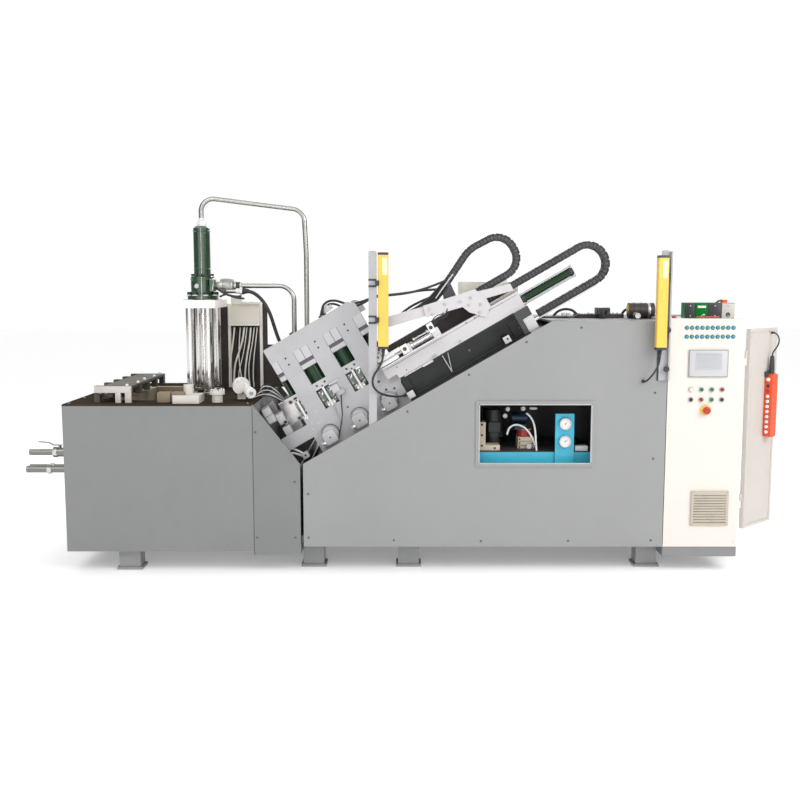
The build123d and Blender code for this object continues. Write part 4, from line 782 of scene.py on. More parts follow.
# %% Clamp heads, valve blocks and rods
screws, valves, dots, rods, feet = [], [], [], [], []
for left, right in zip(slot_left, slot_right):
    middle, width = (left + right) / 2, right - left
    reach = width / 2 - 0.014
    screws.append((cap_screw(0.0062, 0.003),
                   [slope_face(middle + k * reach, 0.33, PLATE + 0.004) for k in (-0.75, 0.85)]))
    screws.append((cap_screw(0.0045, 0.003), slope_face(middle + 0.1 * reach, 0.316, PLATE + 0.004)))
    for side in (-1, 1):
        spot, half = middle + side * (width / 4 + 0.004), width / 4 - 0.006
        valves.append((plate(2 * half, 0.066, 0.02, 0.003, 0.002), slope_face(spot, 0.263, PLATE + 0.034)))
        valves.append((plate(1.7 * half, 0.03, 0.014, 0.003, 0.002), slope_face(spot, 0.213, PLATE + 0.034)))
        dots.append((cap_screw(0.0038, 0.003),
                     [slope_face(spot + side * 0.3 * half, v, PLATE + 0.014) for v in (0.288, 0.24)]))
    rods.append((peg(0.0075, 0.118, 0.0055, 0.121, 16), slope_top(middle, 0.189, PLATE + 0.006)))
    feet.append((nut(0.015, 0.006),
                 [slope_face(middle + k * min(0.018, reach), 0.203, PLATE + 0.004) for k in (-1, 1)]))
solid("clamp_screws", screws, "motor_dark")
solid("valve_blocks", valves, "oil_green")
solid("valve_fittings", dots, "white_paint")
solid("clamp_rods", rods, "white_paint")
solid("clamp_foot_nuts", feet, "steel")

# %% [markdown]
# Flat black pegs sit in seven holes of the plate as painted shade of the bores, two capped screws stand on
# the upper edge, and small plugs close the holes that are not used. The holes could be cut into the plate,
# but a ring with a sunk floor casts the same shadow and leaves the solid whole.

# %% Painted shade in the bores, edge screws and small holes of the plate
PAIRS = (0.192, 0.386, 0.58)
holes = [slope_face(u, v, PLATE) for u in PAIRS for v in (0.554, 0.5145)] + [slope_face(0.359, 0.137, PLATE)]
# painted shade: flat black pegs in seven holes stand for the dark bores
place("bore_shades", peg(0.0058, 0.0012, 0.0042, 0.0014, 16), holes, "black_plastic")
small = [slope_face(u, v, PLATE) for u, v in ((0.19, 0.206), (0.135, 0.158), (0.166, 0.14), (0.122, 0.126))]
place("plate_plugs", rim(0.0085, 0.0058, 0.0016), small, "plate_grey")
edge_spots = [slope_top(u, 0.656, PLATE + 0.02) for u in (0.289, 0.482)]
place("edge_screws", cap_screw(0.01, 0.01), edge_spots, "motor_dark")

# %% [markdown]
# ## Square nuts and their bosses
# At the plate's foot the guide columns end in square nuts with rounded corners. A machined
# ring and a groove surround each, and a black clip holds its lower left corner. The nut is a
# rounded plate rather than a box, as its round edge is what catches the light.

# %% Nuts, rings and clips
NUTS, NUT_ABOVE = (0.191, 0.386, 0.581), 0.042
place("nut_dots", peg(0.0048, 0.0042, 0.004, 0.0044, 14), [slope_face(u, NUT_ABOVE, 0.12) for u in NUTS],
      "black_plastic")
place("nut_faces", plate(0.0765, 0.0765, 0.003, 0.014, 0.003, start=-0.03),
      [slope_face(u, NUT_ABOVE, 0.12) for u in NUTS], "plate_grey")
place("boss_rings", rim(0.0505, 0.0475, 0.012),
      [slope_face(u + 0.006, NUT_ABOVE + 0.014, PLATE - 0.013) for u in NUTS], "plate_grey")
place("boss_grooves", disc(0.0535, 0.002, 36),
      [slope_face(u + 0.006, NUT_ABOVE + 0.014, PLATE) for u in NUTS], "motor_dark")
place("nut_clips", plate(0.028, 0.02, 0.006, 0.003, 0.002),
      [slope_face(u - 0.046, NUT_ABOVE - 0.018, 0.128) for u in NUTS], "steel")
place("half_round_rim", rim(0.077, 0.071, 0.004), slope_face(0.628, 0.15, 0.1723), "plate_grey")
place("half_round_screws", cap_screw(0.006, 0.006),
      [slope_face(u, v, 0.1722) for u, v in ((0.587, 0.175), (0.6, 0.115), (0.645, 0.098))], "motor_dark")

# %% [markdown]
# ## A sensor with its cable
# One slot has a small proximity sensor on a bracket. Its cable drops to the foot of the
# plate. The cable has eight points, and cutting the corners between them lets it hang
# without a kink.

# %% The sensor
solid("sensor_bracket", [
    (plate(0.06, 0.012, 0.012, 0.003, 0.002), slope_face(0.36, 0.302, PLATE)),
    (plate(0.044, 0.044, 0.022, 0.003, 0.002), slope_face(0.352, 0.266, PLATE)),
], "plate_grey")
place("sensor_body", plate(0.046, 0.026, 0.026, 0.004, 0.002), slope_face(0.372, 0.232, PLATE), "post_grey")
cable = [slope_face(u, v, d)[0] for u, v, d in (
    (0.364, 0.222, 0.166), (0.356, 0.205, 0.168), (0.335, 0.165, 0.166), (0.318, 0.126, 0.16),
    (0.296, 0.092, 0.156), (0.268, 0.06, 0.158), (0.246, 0.034, 0.16), (0.226, 0.012, 0.166))]
place("sensor_cable", bar(softened(cable), 0.0032), HERE, "hose_rubber")
thin = [slope_face(u, v, 0.172)[0] for u, v in ((0.296, 0.192), (0.287, 0.135), (0.277, 0.075))]
place("ejector_rods", bar(np.array(thin), 0.003), HERE, "steel")

# %% [markdown]
# ## The dies
# The fixed die plate is ground and slightly pink, with two sunk socket screws whose sockets are filled with
# flat dark discs of painted shade. The blocks in front of it are cast, split where the die opens, and
# bolted. Each block is a plate with its own edge, so the split is a real gap, with a dark strip of painted
# shade in it.

# %% Die plates, blocks and screws
DIE = 0.3  # depth of the die plates' front
die_holes = [slope_face(u, v, DIE - 0.01) for u, v in ((0.072, 0.32), (0.07, 0.213))]
place("die_cover", plate(0.09, 0.14, 0.01, 0.004, 0.002), slope_face(0.047, 0.273, DIE), "die_steel")
place("die_screws", rim(0.0125, 0.0085, 0.005, 0.001), die_holes, "worn_steel")
# painted shade: dark discs inside the screws' sockets
place("die_socket_shade", disc(0.0085, 0.002, 16), die_holes, "motor_dark")
solid("die_blocks", [
    (plate(0.044, 0.058, 0.012, 0.004, 0.003), slope_face(-0.026, 0.262, DIE)),
    (plate(0.048, 0.066, 0.018, 0.004, 0.003), slope_face(-0.024, 0.176, DIE)),
    (plate(0.048, 0.046, 0.014, 0.004, 0.003), slope_face(-0.078, 0.338, DIE)),
    (plate(0.048, 0.046, 0.01, 0.004, 0.003), slope_face(-0.078, 0.29, DIE)),
], "white_paint")
# painted shade: a dark strip in the split between the blocks
place("die_gap_shade", plate(0.05, 0.012, 0.006, 0.001, 0.001), slope_face(-0.024, 0.221, DIE), "motor_dark")
place("spout_nut", nut(0.03, 0.018), slope_end(0.0, 0.235, DIE - 0.02, -1), "column_steel")

# %% [markdown]
# ## Leads by the dies
# Two white tubes enter a small block below the fixed die, a bundle of thin leads comes in
# over the wedge, and a second hose runs beside the one over the head. The bundle is one line
# whose points fan out with a number from 0 to 1, which looks less stiff than copies of one
# lead.

# %% Tubes, leads and the second hose
solid("white_tubes", [
    tube_at(0.2, [(-0.668, 0.668), (-0.64, 0.676), (-0.61, 0.672), (-0.578, 0.658), (-0.548, 0.64)], 0.0065),
    tube_at(0.204, [(-0.645, 0.642), (-0.615, 0.648), (-0.585, 0.64), (-0.55, 0.625)], 0.0065),
], "white_paint")
place("tube_block", plate(0.04, 0.038, 0.03, 0.004, 0.002), slope_face(0.006, 0.016, 0.215), "plate_grey")
# painted shade: a dark cap where the tube block's hole is
place("tube_hole_shade", cap_screw(0.006, 0.003), slope_face(0.006, 0.016, 0.185), "motor_dark")
leads = []
for k, s in enumerate(np.linspace(0, 1, 7)):
    line = [(-0.85 + 0.03 * s, 0.956 + 0.03 * s), (-0.81, 0.965 + 0.062 * s), (-0.765, 0.968 + 0.066 * s),
            (-0.72, 0.952 + 0.05 * s), (-0.69, 0.938 + 0.02 * s), (-0.665, 0.934)]
    leads.append(tube_at(0.3 + 0.01 * k, line, 0.003, 8))
solid("thin_leads", leads[::2], "hose_rubber")
solid("pale_leads", leads[1::2], "white_paint")
solid("second_hose", [
    tube_at(0.335, [(-0.433, 1.432), (-0.433, 1.47), (-0.42, 1.497), (-0.387, 1.506), (-0.345, 1.492),
                    (-0.32, 1.47)], 0.0065),
    tube_at(0.32, [(-0.3, 1.47), (-0.265, 1.505), (-0.215, 1.517), (-0.16, 1.538)], 0.0065),
], "hose_rubber")
solid("hose_block", [
    (plate(0.05, 0.034, 0.03, 0.004, 0.003), slope_face(0.521, 0.682, 0.345)),
    (nut(0.024, 0.014), slope_end(0.548, 0.682, 0.33)),
], "white_paint")

# %% [markdown]
# ## The control panel
# Two rows of cyan lamps, two rows of buttons, a yellow stop with a red mushroom and a screen
# in a grey bezel. Each lens is a low dome on a black ring. Twenty lamps share one profile,
# so a better profile improves all of them at once.

# %% Lamps, buttons and the stop
CABINET = 1.4837  # X of the cabinet's left edge
lamp_spots = [face(CABINET + 0.095 + i * 0.0284, z) for z in (1.379, 1.33) for i in range(10)]
dome = turned([(0.0085, 0), (0.0085, 0.0045), (0.0075, 0.0063), (0.0045, 0.0072), (0.001, 0.0074)], 20)
place("lamp_lenses", dome, lamp_spots, "lamp_cyan", slot="control_mix", replaces=("panel_controls",))
place("lamp_rings", rim(0.0112, 0.0088, 0.004), lamp_spots, "black_plastic", slot="control_mix")


def button_spots(row, columns):
    """Faces of the buttons in a row, counted from the left."""
    return [face(CABINET + 0.129 + i * 0.057, (1.038, 0.982)[row]) for i in columns]


every_button = button_spots(0, range(4)) + button_spots(1, range(4))
push = turned([(0.0098, 0), (0.0098, 0.0115), (0.0088, 0.0135), (0.002, 0.014)], 22)
place("button_bezels", rim(0.014, 0.0102, 0.007), every_button, "steel")
place("cream_button", push, button_spots(0, [0]), "lamp_cream")
place("green_buttons", push, button_spots(0, [1, 2]) + button_spots(1, [2]), "key_green")
place("red_buttons", push, button_spots(0, [3]) + button_spots(1, [1]), "lever_red")
selectors = button_spots(1, [0, 3])
knob = [(plate(0.0075, 0.021, 0.014, 0.003, 0.0015, start=0.004), selectors)]
knob.append((peg(0.0098, 0.006, 0.009, 0.007, 22), selectors))
solid("selector_knobs", knob, "black_plastic")
stop = face(CABINET + 0.213, 0.924)
washer = turned([(0.03, 0), (0.03, 0.0062), (0.0292, 0.0072), (0.004, 0.0078)], 40)
place("stop_plate", washer, stop, "safety_yellow")
place("stop_mushroom", turned([
    (0.0135, 0.004), (0.0135, 0.018), (0.0205, 0.022), (0.0212, 0.026), (0.0205, 0.03), (0.0165, 0.0328),
    (0.009, 0.0338), (0.001, 0.034)], 36), stop, "stop_red")

# %% [markdown]
# ## Screen, keys and vent
# The screen is a pale pane in a grey frame, with lines of text fields on it and a row of
# keys under it. The vent has slats and four screws, and the cabinet's own screws are painted
# over. The text fields are thin plates and not a picture, so they stay sharp from near.

# %% Screen and keys
SCREEN_X = CABINET + 0.111 + 0.1075
place("screen_frame", plate(0.168, 0.128, 0.0032, 0.004, 0.001), face(SCREEN_X, 1.186, -0.007),
      "display_grey")
place("screen_pane", plate(0.146, 0.094, 0.0008, 0.003, 0.0004), face(SCREEN_X, 1.195, -0.0102),
      "screen_pale")
screen_rows = [face(SCREEN_X, 1.162 + k * 0.0125, -0.0108) for k in range(5)]
solid("screen_table", [
    (plate(0.126, 0.0035, 0.0006, 0.0005, 0.0002), screen_rows),
    (plate(0.13, 0.012, 0.0006, 0.001, 0.0002), face(SCREEN_X, 1.229, -0.0108)),
], "screen_blue")
place("screen_keys", plate(0.016, 0.009, 0.0028, 0.002, 0.001),
      [face(SCREEN_X - 0.066 + k * 0.022, 1.1395, -0.0092) for k in range(7)], "plate_grey")
place("screen_border", plate(0.207, 0.142, 0.0012, 0.006, 0.0008), face(SCREEN_X, 1.183, -0.0092),
      "plate_grey")
vent_x, vent_z = CABINET + 0.149 + 0.1045, 0.3695
vent_screws = [face(vent_x + i * 0.097, vent_z + k * 0.09, -0.01) for i in (-1, 1) for k in (-1, 1)]
place("vent_screws", cap_screw(0.0038, 0.0022), vent_screws, "vent_beige")
place("vent_slats", plate(0.181, 0.0112, 0.0035, 0.001, 0.0014),
      [face(vent_x, 0.2988 + k * 0.01518, -0.005) for k in range(11)], "vent_beige")
place("cabinet_screws", cap_screw(0.0052, 0.0026),
      [face(CABINET + a, z) for a in (0.018, 0.397) for z in (0.175, 0.835)], "warm_white")

# %% [markdown]
# ## Behind the window
# Two dial gauges sit on a blue plate. Their dials are white discs with eleven tick marks
# over 270 degrees and a needle, behind a steel ring. Each mark is four corners turned by 27
# degrees from the last, which is exact and needs no picture.

# %% Gauges
WINDOW = BED_X + 0.984  # X of the window's left edge
gauge_spots = [face(WINDOW + 0.489, z, 0.076) for z in (0.835, 0.735)]
place("gauge_rings", rim(0.0355, 0.03, 0.008, 0.0012), gauge_spots, "steel")
place("gauge_dials", disc(0.03, 0.0016, 40), gauge_spots, "white_paint")
ticks = []
for k in range(11):
    turn = math.radians(225 - 27 * k)
    out, side = np.array([math.cos(turn), math.sin(turn)]), np.array([-math.sin(turn), math.cos(turn)])
    mark = np.array([out * r + side * w
                     for r, w in ((0.027, -0.0007), (0.027, 0.0007), (0.022, 0.0007), (0.022, -0.0007))])
    ticks.append((pressed(mark, 0.001, 0.0021, 0.0001, 2), gauge_spots))
needle = np.array([[-0.006, -0.004], [0.0, -0.0022], [0.016, 0.0135], [-0.0022, 0.0]])
ticks.append((pressed(needle, 0.001, 0.0026, 0.0001, 2), gauge_spots))
ticks.append((turned([(0.0032, 0.001), (0.0032, 0.0032)], 14), gauge_spots))
solid("gauge_marks", ticks, "motor_dark")

# %% [markdown]
# The pump's motor stands upright with cooling fins. Beside it a small blue motor lies over a
# stack of valve plates, next to a red filter cap, and a block has screws in a row. The fins
# are one turned profile with a step for each, since separate rings would leave gaps.

# %% Motors, filter and valve stack
fins = turned([spot for z in 0.012 + 0.01 * np.arange(13)
               for spot in ((0.056, z), (0.0605, z), (0.0605, z + 0.004), (0.056, z + 0.004))], 36)
place("motor_fins", fins, top(WINDOW + 0.106, 0.33, 0.728), "motor_dark")
place("motor_side", plate(0.07, 0.06, 0.022, 0.006, 0.003), face(WINDOW + 0.106, 0.79, 0.276), "motor_dark")
can = turned([(0.02, 0), (0.0262, 0.004), (0.0262, 0.092), (0.02, 0.098), (0.012, 0.112), (0.012, 0.124)])
place("blue_motor", can, endways(WINDOW + 0.202, 0.25, 0.848), "motor_blue")
place("blue_motor_foot", plate(0.07, 0.08, 0.028, 0.004, 0.002), top(WINDOW + 0.252, 0.262, 0.782),
      "motor_blue")
place("filter_cap", turned([(0.0422, 0), (0.0422, 0.04), (0.036, 0.0445), (0.015, 0.0448)], 32),
      top(WINDOW + 0.28, 0.27, 0.738), "stop_red")
place("stack_lines", plate(0.094, 0.003, 0.001, 0.0005, 0.0003),
      [face(WINDOW + 0.286, z, 0.22) for z in (0.69, 0.714)], "motor_dark")
place("stack_screws", cap_screw(0.005, 0.003),
      [face(WINDOW + 0.286 + i * 0.037, z, 0.22) for i in (-1, 1) for z in (0.68, 0.702, 0.726)],
      "motor_dark")
place("block_screws", cap_screw(0.006, 0.004),
      [face(WINDOW + 0.026, z, 0.15) for z in (0.82, 0.76, 0.7)] + [face(WINDOW + 0.1, 0.685, 0.15)],
      "motor_dark")

# %% [markdown]
# The tank has a dark lid. Two white return tubes bend down to it from their unions, a small
# gauge and a terminal box stand on it, and the window has a folded edge. The fold is four
# thin strips, because a frame in one piece would need a hole in its rings.

# %% Tank lid, tubes and the window's edge
small_gauge = face(0.749, 0.687, 0.205)
place("tank_top", plate(0.715, 0.556, 0.004, 0.003, 0.002), top(WINDOW + 0.2985, 0.39, 0.668), "plinth_dark")
solid("return_tubes", [
    tube_at(0.15, [(0.615, 0.764), (0.624, 0.8), (0.658, 0.823), (0.7, 0.815), (0.736, 0.785),
                   (0.762, 0.74), (0.782, 0.69), (0.788, 0.664)], 0.0055),
    tube_at(0.138, [(0.722, 0.888), (0.748, 0.868), (0.77, 0.82), (0.777, 0.76), (0.779, 0.71),
                    (0.786, 0.658)], 0.0055),
], "white_paint")
solid("white_unions", [
    (nut(0.026, 0.022), [face(x, z, 0.25) for x, z in ((0.627, 0.899), (0.612, 0.86), (0.716, 0.902))]),
    (plate(0.044, 0.014, 0.016, 0.004, 0.003), face(0.776, 0.903, 0.25)),
], "white_paint")
solid("small_gauge", [
    (rim(0.0175, 0.0145, 0.006, 0.0012), small_gauge),
    (turned([(0.008, -0.02), (0.008, 0.0)], 16), small_gauge),
], "steel")
place("small_dial", disc(0.0145, 0.002, 24), small_gauge, "white_paint")
place("terminal_box", plate(0.074, 0.03, 0.04, 0.004, 0.003), face(WINDOW + 0.59, 0.688, 0.16),
      "white_paint")
solid("window_edge", [
    (plate(0.007, 0.338, 0.008, 0.001, 0.001), [face(WINDOW + a, 0.789, -0.0005) for a in (-0.003, 0.62)]),
    (plate(0.63, 0.007, 0.008, 0.001, 0.001), [face(WINDOW + 0.3085, z, -0.0005) for z in (0.623, 0.955)]),
], "head_grey")

# %% [markdown]
# ## Light curtains
# Each curtain is a yellow profile with black caps, a black strip of lenses on its inner side
# and black clamps at the post. The posts end in round tops and have black knobs. The ribs of
# the profile are raised plates of less than a millimetre, enough to break the flat yellow.

# %% Curtains, clamps and knobs
RIGHT_X, LEFT_X, HANG = 1.4227, -0.0883, 1.275
curtains = ((RIGHT_X, -0.0535, 0.482), (LEFT_X, 0.0225, 0.5))
caps, lens_strips, ribs = [], [], []
for x, depth, length in curtains:
    caps.append((plate(0.0588, 0.0458, 0.014, 0.006, 0.003), top(x, depth, HANG + length)))
    caps.append((plate(0.0588, 0.0458, 0.0, 0.006, 0.0001, start=-0.014), top(x, depth, HANG)))
    lens_strips.append((plate(0.03, length - 0.03, 0.0012, 0.004, 0.0006),
                        back_face(x, HANG + length / 2, depth + 0.0225)))
    for k in (-1, 1):
        spot = face(x + k * 0.021, HANG + length / 2, depth - 0.0225)
        ribs.append((plate(0.009, length - 0.004, 0.0007, 0.003, 0.0005), spot))
solid("curtain_caps", caps, "black_plastic")
solid("curtain_lenses", lens_strips, "black_plastic")
solid("curtain_ribs", ribs, "safety_yellow")
place("curtain_tops", plate(0.026, 0.092, 0.0007, 0.003, 0.0004),
      [face(x + 0.009, HANG + length - 0.062, depth - 0.0226) for x, depth, length in curtains],
      "label_yellow")
POST_X = 1.4587
clamps = [(plate(0.02, 0.028, 0.05, 0.003, 0.002), [face(POST_X - 0.006, z, 0.0) for z in (1.342, 1.662)])]
clamps.append((plate(0.022, 0.03, 0.036, 0.003, 0.002), [face(-0.121, z, 0.008) for z in (1.422, 1.622)]))
solid("curtain_clamps", clamps, "black_plastic")
lobes = turned([(0.006, 0), (0.006, 0.01), (0.015, 0.014), (0.0165, 0.02), (0.015, 0.026),
                (0.004, 0.028)], 24)
place("post_knobs", lobes, [face(x, z, -0.008) for x, z in ((1.469, 1.367), (1.466, 1.153))],
      "black_plastic")
# painted shade: a dark strip on the left part of the right post, below the curtain, where the post lies in
# shadow
place("post_shade_strip", plate(0.024, 0.175, 0.01, 0.003, 0.002), face(1.4325, 1.176, 0.004), "motor_dark")
place("post_tops", plate(0.04, 0.02, 0.008, 0.006, 0.006),
      [top(1.4557, 0.018, 1.7925), top(-0.1463, 0.023, 1.7895)], "post_grey")
place("left_post_bands", plate(0.046, 0.01, 0.003, 0.001, 0.001),
      [face(-0.1463, z, 0.008) for z in (1.405, 1.44, 1.605, 1.64)], "motor_dark")

# %% [markdown]
# ## Door and pendant
# The door has a folded rim and two rows of screws, and carries the orange pendant in a black
# holder. Eight white keys stand in one column, with a red, a black and a white one above.
# Their faces are computed from the door's, so that every piece swings with it.

# %% Door rim, screws and pendant keys
door_fold = [
    (plate(0.306, 0.018, 0.004, 0.002, 0.002), [door_face(0.164, z) for z in (1.362, 0.26)]),
    (plate(0.018, 1.084, 0.004, 0.002, 0.002), [door_face(a, 0.811) for a in (0.017, 0.311)]),
]
# the door's rim has the door's darker cream, which is painted shade
solid("door_fold", door_fold, "door_cream", "door")
place("door_screws", cap_screw(0.005, 0.003),
      [door_face(a, z, 0.0185) for a in (0.017, 0.311) for z in (0.3, 0.57, 0.84, 1.11, 1.33)], "steel",
      "door")


def key_face(height):
    """Side of the pendant that looks back at the operator: a = out of the door, b = Z."""
    (x, y, z), (along, up, out) = door_face(0.195, height, 0.0393)
    return (x, y, z), (out, up, tuple(-v for v in along))


place("pendant_panel", plate(0.034, 0.33, 0.0015, 0.008, 0.001), key_face(0.935), "pendant_orange", "door")
keys = [key_face(0.988 - 0.029 * k) for k in range(8)]
place("pendant_keys", peg(0.0098, 0.006, 0.0082, 0.0078, 20), keys, "white_paint", "door")
place("pendant_key_rings", rim(0.0118, 0.0098, 0.0022), keys, "black_plastic", "door")
for name, height, radius, rise, tip, end, sides, finish in (
        ("pendant_top_key", 1.083, 0.0105, 0.007, 0.009, 0.009, 20, "white_paint"),
        ("pendant_black_key", 1.047, 0.0095, 0.005, 0.008, 0.006, 20, "black_plastic"),
        ("pendant_stop", 1.018, 0.0105, 0.006, 0.009, 0.009, 24, "stop_red")):
    place(name, peg(radius, rise, tip, end, sides), key_face(height), finish, "door")
place("pendant_holder", plate(0.078, 0.03, 0.038, 0.006, 0.003), door_face(0.226, 1.112, 0.0),
      "black_plastic", "door")
boot = turned([(0.0145, 0), (0.0145, 0.03), (0.013, 0.06), (0.0105, 0.098), (0.008, 0.1)], 24)
place("pendant_boot", boot, top(2.1037, 0.13, 1.1155), "black_plastic", "door")
place("side_keys", turned([(0.009, -0.002), (0.009, 0.0), (0.006, 0.0008)], 16),
      [door_face(0.24, 0.975 - 0.058 * k, 0.0623) for k in range(4)], "pendant_orange", "door")

# %% [markdown]
# ## Beam, arm and gripper
# Two white bars slide with the gripper along a fixed rail. Steel collars hold its cylinder,
# and a white block with a black dot closes each end of it. The bars ride on the gripper's
# body, as pieces left on the machine would stay behind.

# %% Bars, rail, collars and blocks
BEAM = 0.112  # depth of the beam's front
GRIP_ABOVE, GRIP_DEPTH = 0.258, 0.142  # axis of the gripper's cylinder on the bed
solid("gripper_block", [
    (plate(0.144, 0.019, 0.046, 0.003, 0.002), slope_face(0.716, 0.2835, 0.114)),
    (plate(0.118, 0.022, 0.05, 0.003, 0.002), slope_face(0.702, 0.2525, 0.114)),
], "white_paint", "gripper")
place("gripper_rail", plate(0.38, 0.0045, 0.058, 0.001, 0.001), slope_face(0.83, 0.2345, 0.116),
      "white_paint")
solid("gripper_collars", [
    (band(0.0215, 0.0235, 0.016, 28), [slope_end(a, GRIP_ABOVE, GRIP_DEPTH) for a in (0.846, 0.966)]),
    (disc(0.0165, 0.012, 20), [slope_end(a, GRIP_ABOVE, GRIP_DEPTH) for a in (0.876, 0.925)]),
], "steel")
solid("gripper_head", [
    (plate(0.036, 0.054, 0.054, 0.003, 0.002), slope_face(0.995, 0.298, BEAM)),
    (plate(0.042, 0.052, 0.034, 0.003, 0.002), slope_face(0.8105, 0.2655, 0.11)),
], "white_paint")
place("gripper_dots", peg(0.011, 0.002, 0.0095, 0.003, 22),
      [slope_face(0.995, 0.3, 0.058), slope_face(0.8105, 0.268, 0.076)], "black_plastic")
solid("guide_rod", [
    (disc(0.0045, 0.1, 14), slope_end(0.876, 0.2865, 0.128)),
    (disc(0.009, 0.012, 14), [slope_end(0.874, 0.2865, 0.128), slope_end(0.961, 0.2865, 0.128)]),
], "steel")

# %% [markdown]
# Three thin air lines fold over the beam's end. Under the beam run steel strips with studs,
# and dark screws and one thin joint mark its front. Covers close the ends of the side
# channel. Two rods lean together on the trough and stay straight, as their lines aren't
# softened.

# %% Air lines, strips, screws and covers of the beam
solid("leaning_rods", [on_bed(0.168, [(0.973, 0.13), (0.975, 0.016)], 0.0035, 8, 0),
                       on_bed(0.168, [(1.012, 0.132), (0.977, 0.016)], 0.0035, 8, 0)], "steel")
air = []
for lift, deep in ((0.0, 0.104), (0.012, 0.1), (0.024, 0.108)):
    line = [(1.016, 0.3 + lift, 0), (1.052, 0.318 + lift, 0.004), (1.098, 0.304 + lift, 0.006),
            (1.128, 0.33 + lift, 0.0)]
    air.append((bar(softened([slope_face(a, b, deep - out)[0] for a, b, out in line]), 0.003, 8), HERE))
solid("air_lines", air, "black_plastic")
solid("under_strip", [
    (plate(0.118, 0.006, 0.01, 0.001, 0.001), slope_face(0.79, 0.1335, BEAM)),
    (plate(0.066, 0.012, 0.012, 0.001, 0.001), slope_face(0.882, 0.131, BEAM)),
], "steel")
place("beam_studs", peg(0.0055, 0.016, 0.004, 0.018, 14),
      [slope_face(a, 0.15, BEAM) for a in (0.925, 0.942, 1.1)], "steel")
place("beam_screws", cap_screw(0.0035, 0.002), [slope_face(a, b, BEAM) for a, b in (
    (0.72, 0.2), (0.76, 0.16), (1.18, 0.222), (1.33, 0.222), (1.235, 0.222),
)], "motor_dark")
place("beam_lines", plate(0.84, 0.0022, 0.0006, 0.0008, 0.0003), slope_face(1.08, 0.2165, BEAM),
      "motor_dark")
place("block_caps", cap_screw(0.0055, 0.004), slope_face(1.334, 0.032, 0.057), "motor_dark")
place("clamp_covers", plate(0.04, 0.04, 0.003, 0.002, 0.001),
      [slope_face(a, 0.03, 0.06) for a in (0.715, 1.33)], "beam_pale")
place("arm_bolts", nut(0.013, 0.008), [slope_face(a, b, 0.1) for a, b in (
    (1.04, 0.392), (1.04, 0.355), (1.128, 0.372), (1.208, 0.34), (1.27, 0.332), (1.3, 0.27),
    (1.275, 0.235), (1.24, 0.3),
)], "steel")
mouth = np.array([(1.128, 0.371), (1.206, 0.35), (1.217, 0.48), (1.164, 0.472)])
place("mouth_cover", pressed(mouth, 0, 0.002, 0.001, 2), slope_face(0, 0, 0.152), "plinth_dark")
shade = np.array([(1.43, 0.08), (1.519, 0.084), (1.519, 0.139), (1.43, 0.139)])
foot = np.array([(1.43, 0.002), (1.459, 0.002), (1.459, 0.081), (1.43, 0.08)])
solid("end_shade", [(pressed(part, 0, 0.002, 0.001, 2), slope_face(0, 0, 0.06))
                    for part in (shade, foot)], "plinth_dark")
place("end_plate", plate(0.056, 0.072, 0.006, 0.002, 0.002), slope_face(1.49, 0.042, 0.06), "beam_pale")

# %% [markdown]
# Seven flat leads run in one band from the arm's chain over the head. Two tie rods and two
# rings hold the stroke cylinder. The leads are one line shifted step by step, so they stay
# side by side in the bend.

# %% Cable band, lead and tie rods
bundle = []
for k in range(7):
    s = 0.007 * k
    bundle.append(on_bed(0.15 + 0.01 * (k % 2), [
        (1.2 - 0.3 * s, 0.487 - s), (1.13, 0.462 - s), (1.06, 0.44 - s), (0.975, 0.432 - 0.6 * s),
        (0.88, 0.438 - 0.4 * s), (0.79, 0.446 - 0.5 * s), (0.745, 0.44 - s),
    ], 0.0058, 8, 3))
solid("cable_band", bundle, "hose_rubber")
solid("band_strips", [on_bed(0.128, [(1.252, 0.493), (1.18, 0.462), (1.1, 0.424)], 0.004, 8, 2)],
      "plate_grey")
solid("upper_lead", [on_bed(
    0.128, [(1.206, 0.481), (1.104, 0.495), (0.991, 0.522), (0.882, 0.569), (0.8, 0.612)], 0.0068, 10, 3,
)], "hose_rubber")
solid("tie_rods", [
    (disc(0.0055, 0.33, 12), [slope_end(1.512, b, 0.124) for b in (0.148, 0.204)]),
    (disc(0.01, 0.01, 6), [slope_end(a, b, 0.124) for a in (1.512, 1.832) for b in (0.148, 0.204)]),
], "steel")
place("stroke_rings", band(0.0235, 0.0255, 0.02, 28),
      [slope_end(a, 0.176, 0.142) for a in (1.514, 1.818)], "motor_dark")

# %% [markdown]
# ## Link pattern of the drag chains
# A drag chain shows a pale pad in the middle of each link, a pin between two links and ribs
# along both edges. The links follow the same path as the solids: straight runs joined by
# arcs, cut into equal steps.

# %% Paths and links
CHAIN_FRONT, PITCH = 0.18, 0.042  # depth of the chains' front, length of a link


def rounded_path(corners, radii):
    """Straight runs joined by arcs; each arc touches both runs at r tan(turn / 2)."""
    corners = np.array(corners, float)
    line = [corners[:1]]
    for before, corner, after, r in zip(corners[:-2], corners[1:-1], corners[2:], radii):
        u = (corner - before) / np.linalg.norm(corner - before)
        w = (after - corner) / np.linalg.norm(after - corner)
        turn = math.atan2(u[0] * w[1] - u[1] * w[0], u @ w)
        inward = math.copysign(1, turn) * np.array([-u[1], u[0]])
        centre = corner - u * r * math.tan(abs(turn) / 2) + inward * r
        t = np.linspace(0, turn, 28)[:, None]
        line.append(centre + r * (np.cos(t) * -inward + np.sin(t) * np.array([inward[1], -inward[0]])))
    return np.concatenate(line + [corners[-1:]])


def stations(line, shift):
    """Places and angles at equal steps of about the pitch along a line."""
    run = np.concatenate([[0], np.cumsum(np.linalg.norm(np.diff(line, axis=0), axis=1))])
    count = round(run[-1] / PITCH)
    at = (np.arange(count - (shift == 1)) + shift) / count * run[-1]
    near, far = [np.stack([np.interp(at + e, run, line[:, i]) for i in (0, 1)], axis=1)
                 for e in (-1e-3, 1e-3)]
    angle = np.arctan2(far[:, 1] - near[:, 1], far[:, 0] - near[:, 0])
    return (near + far) / 2, angle


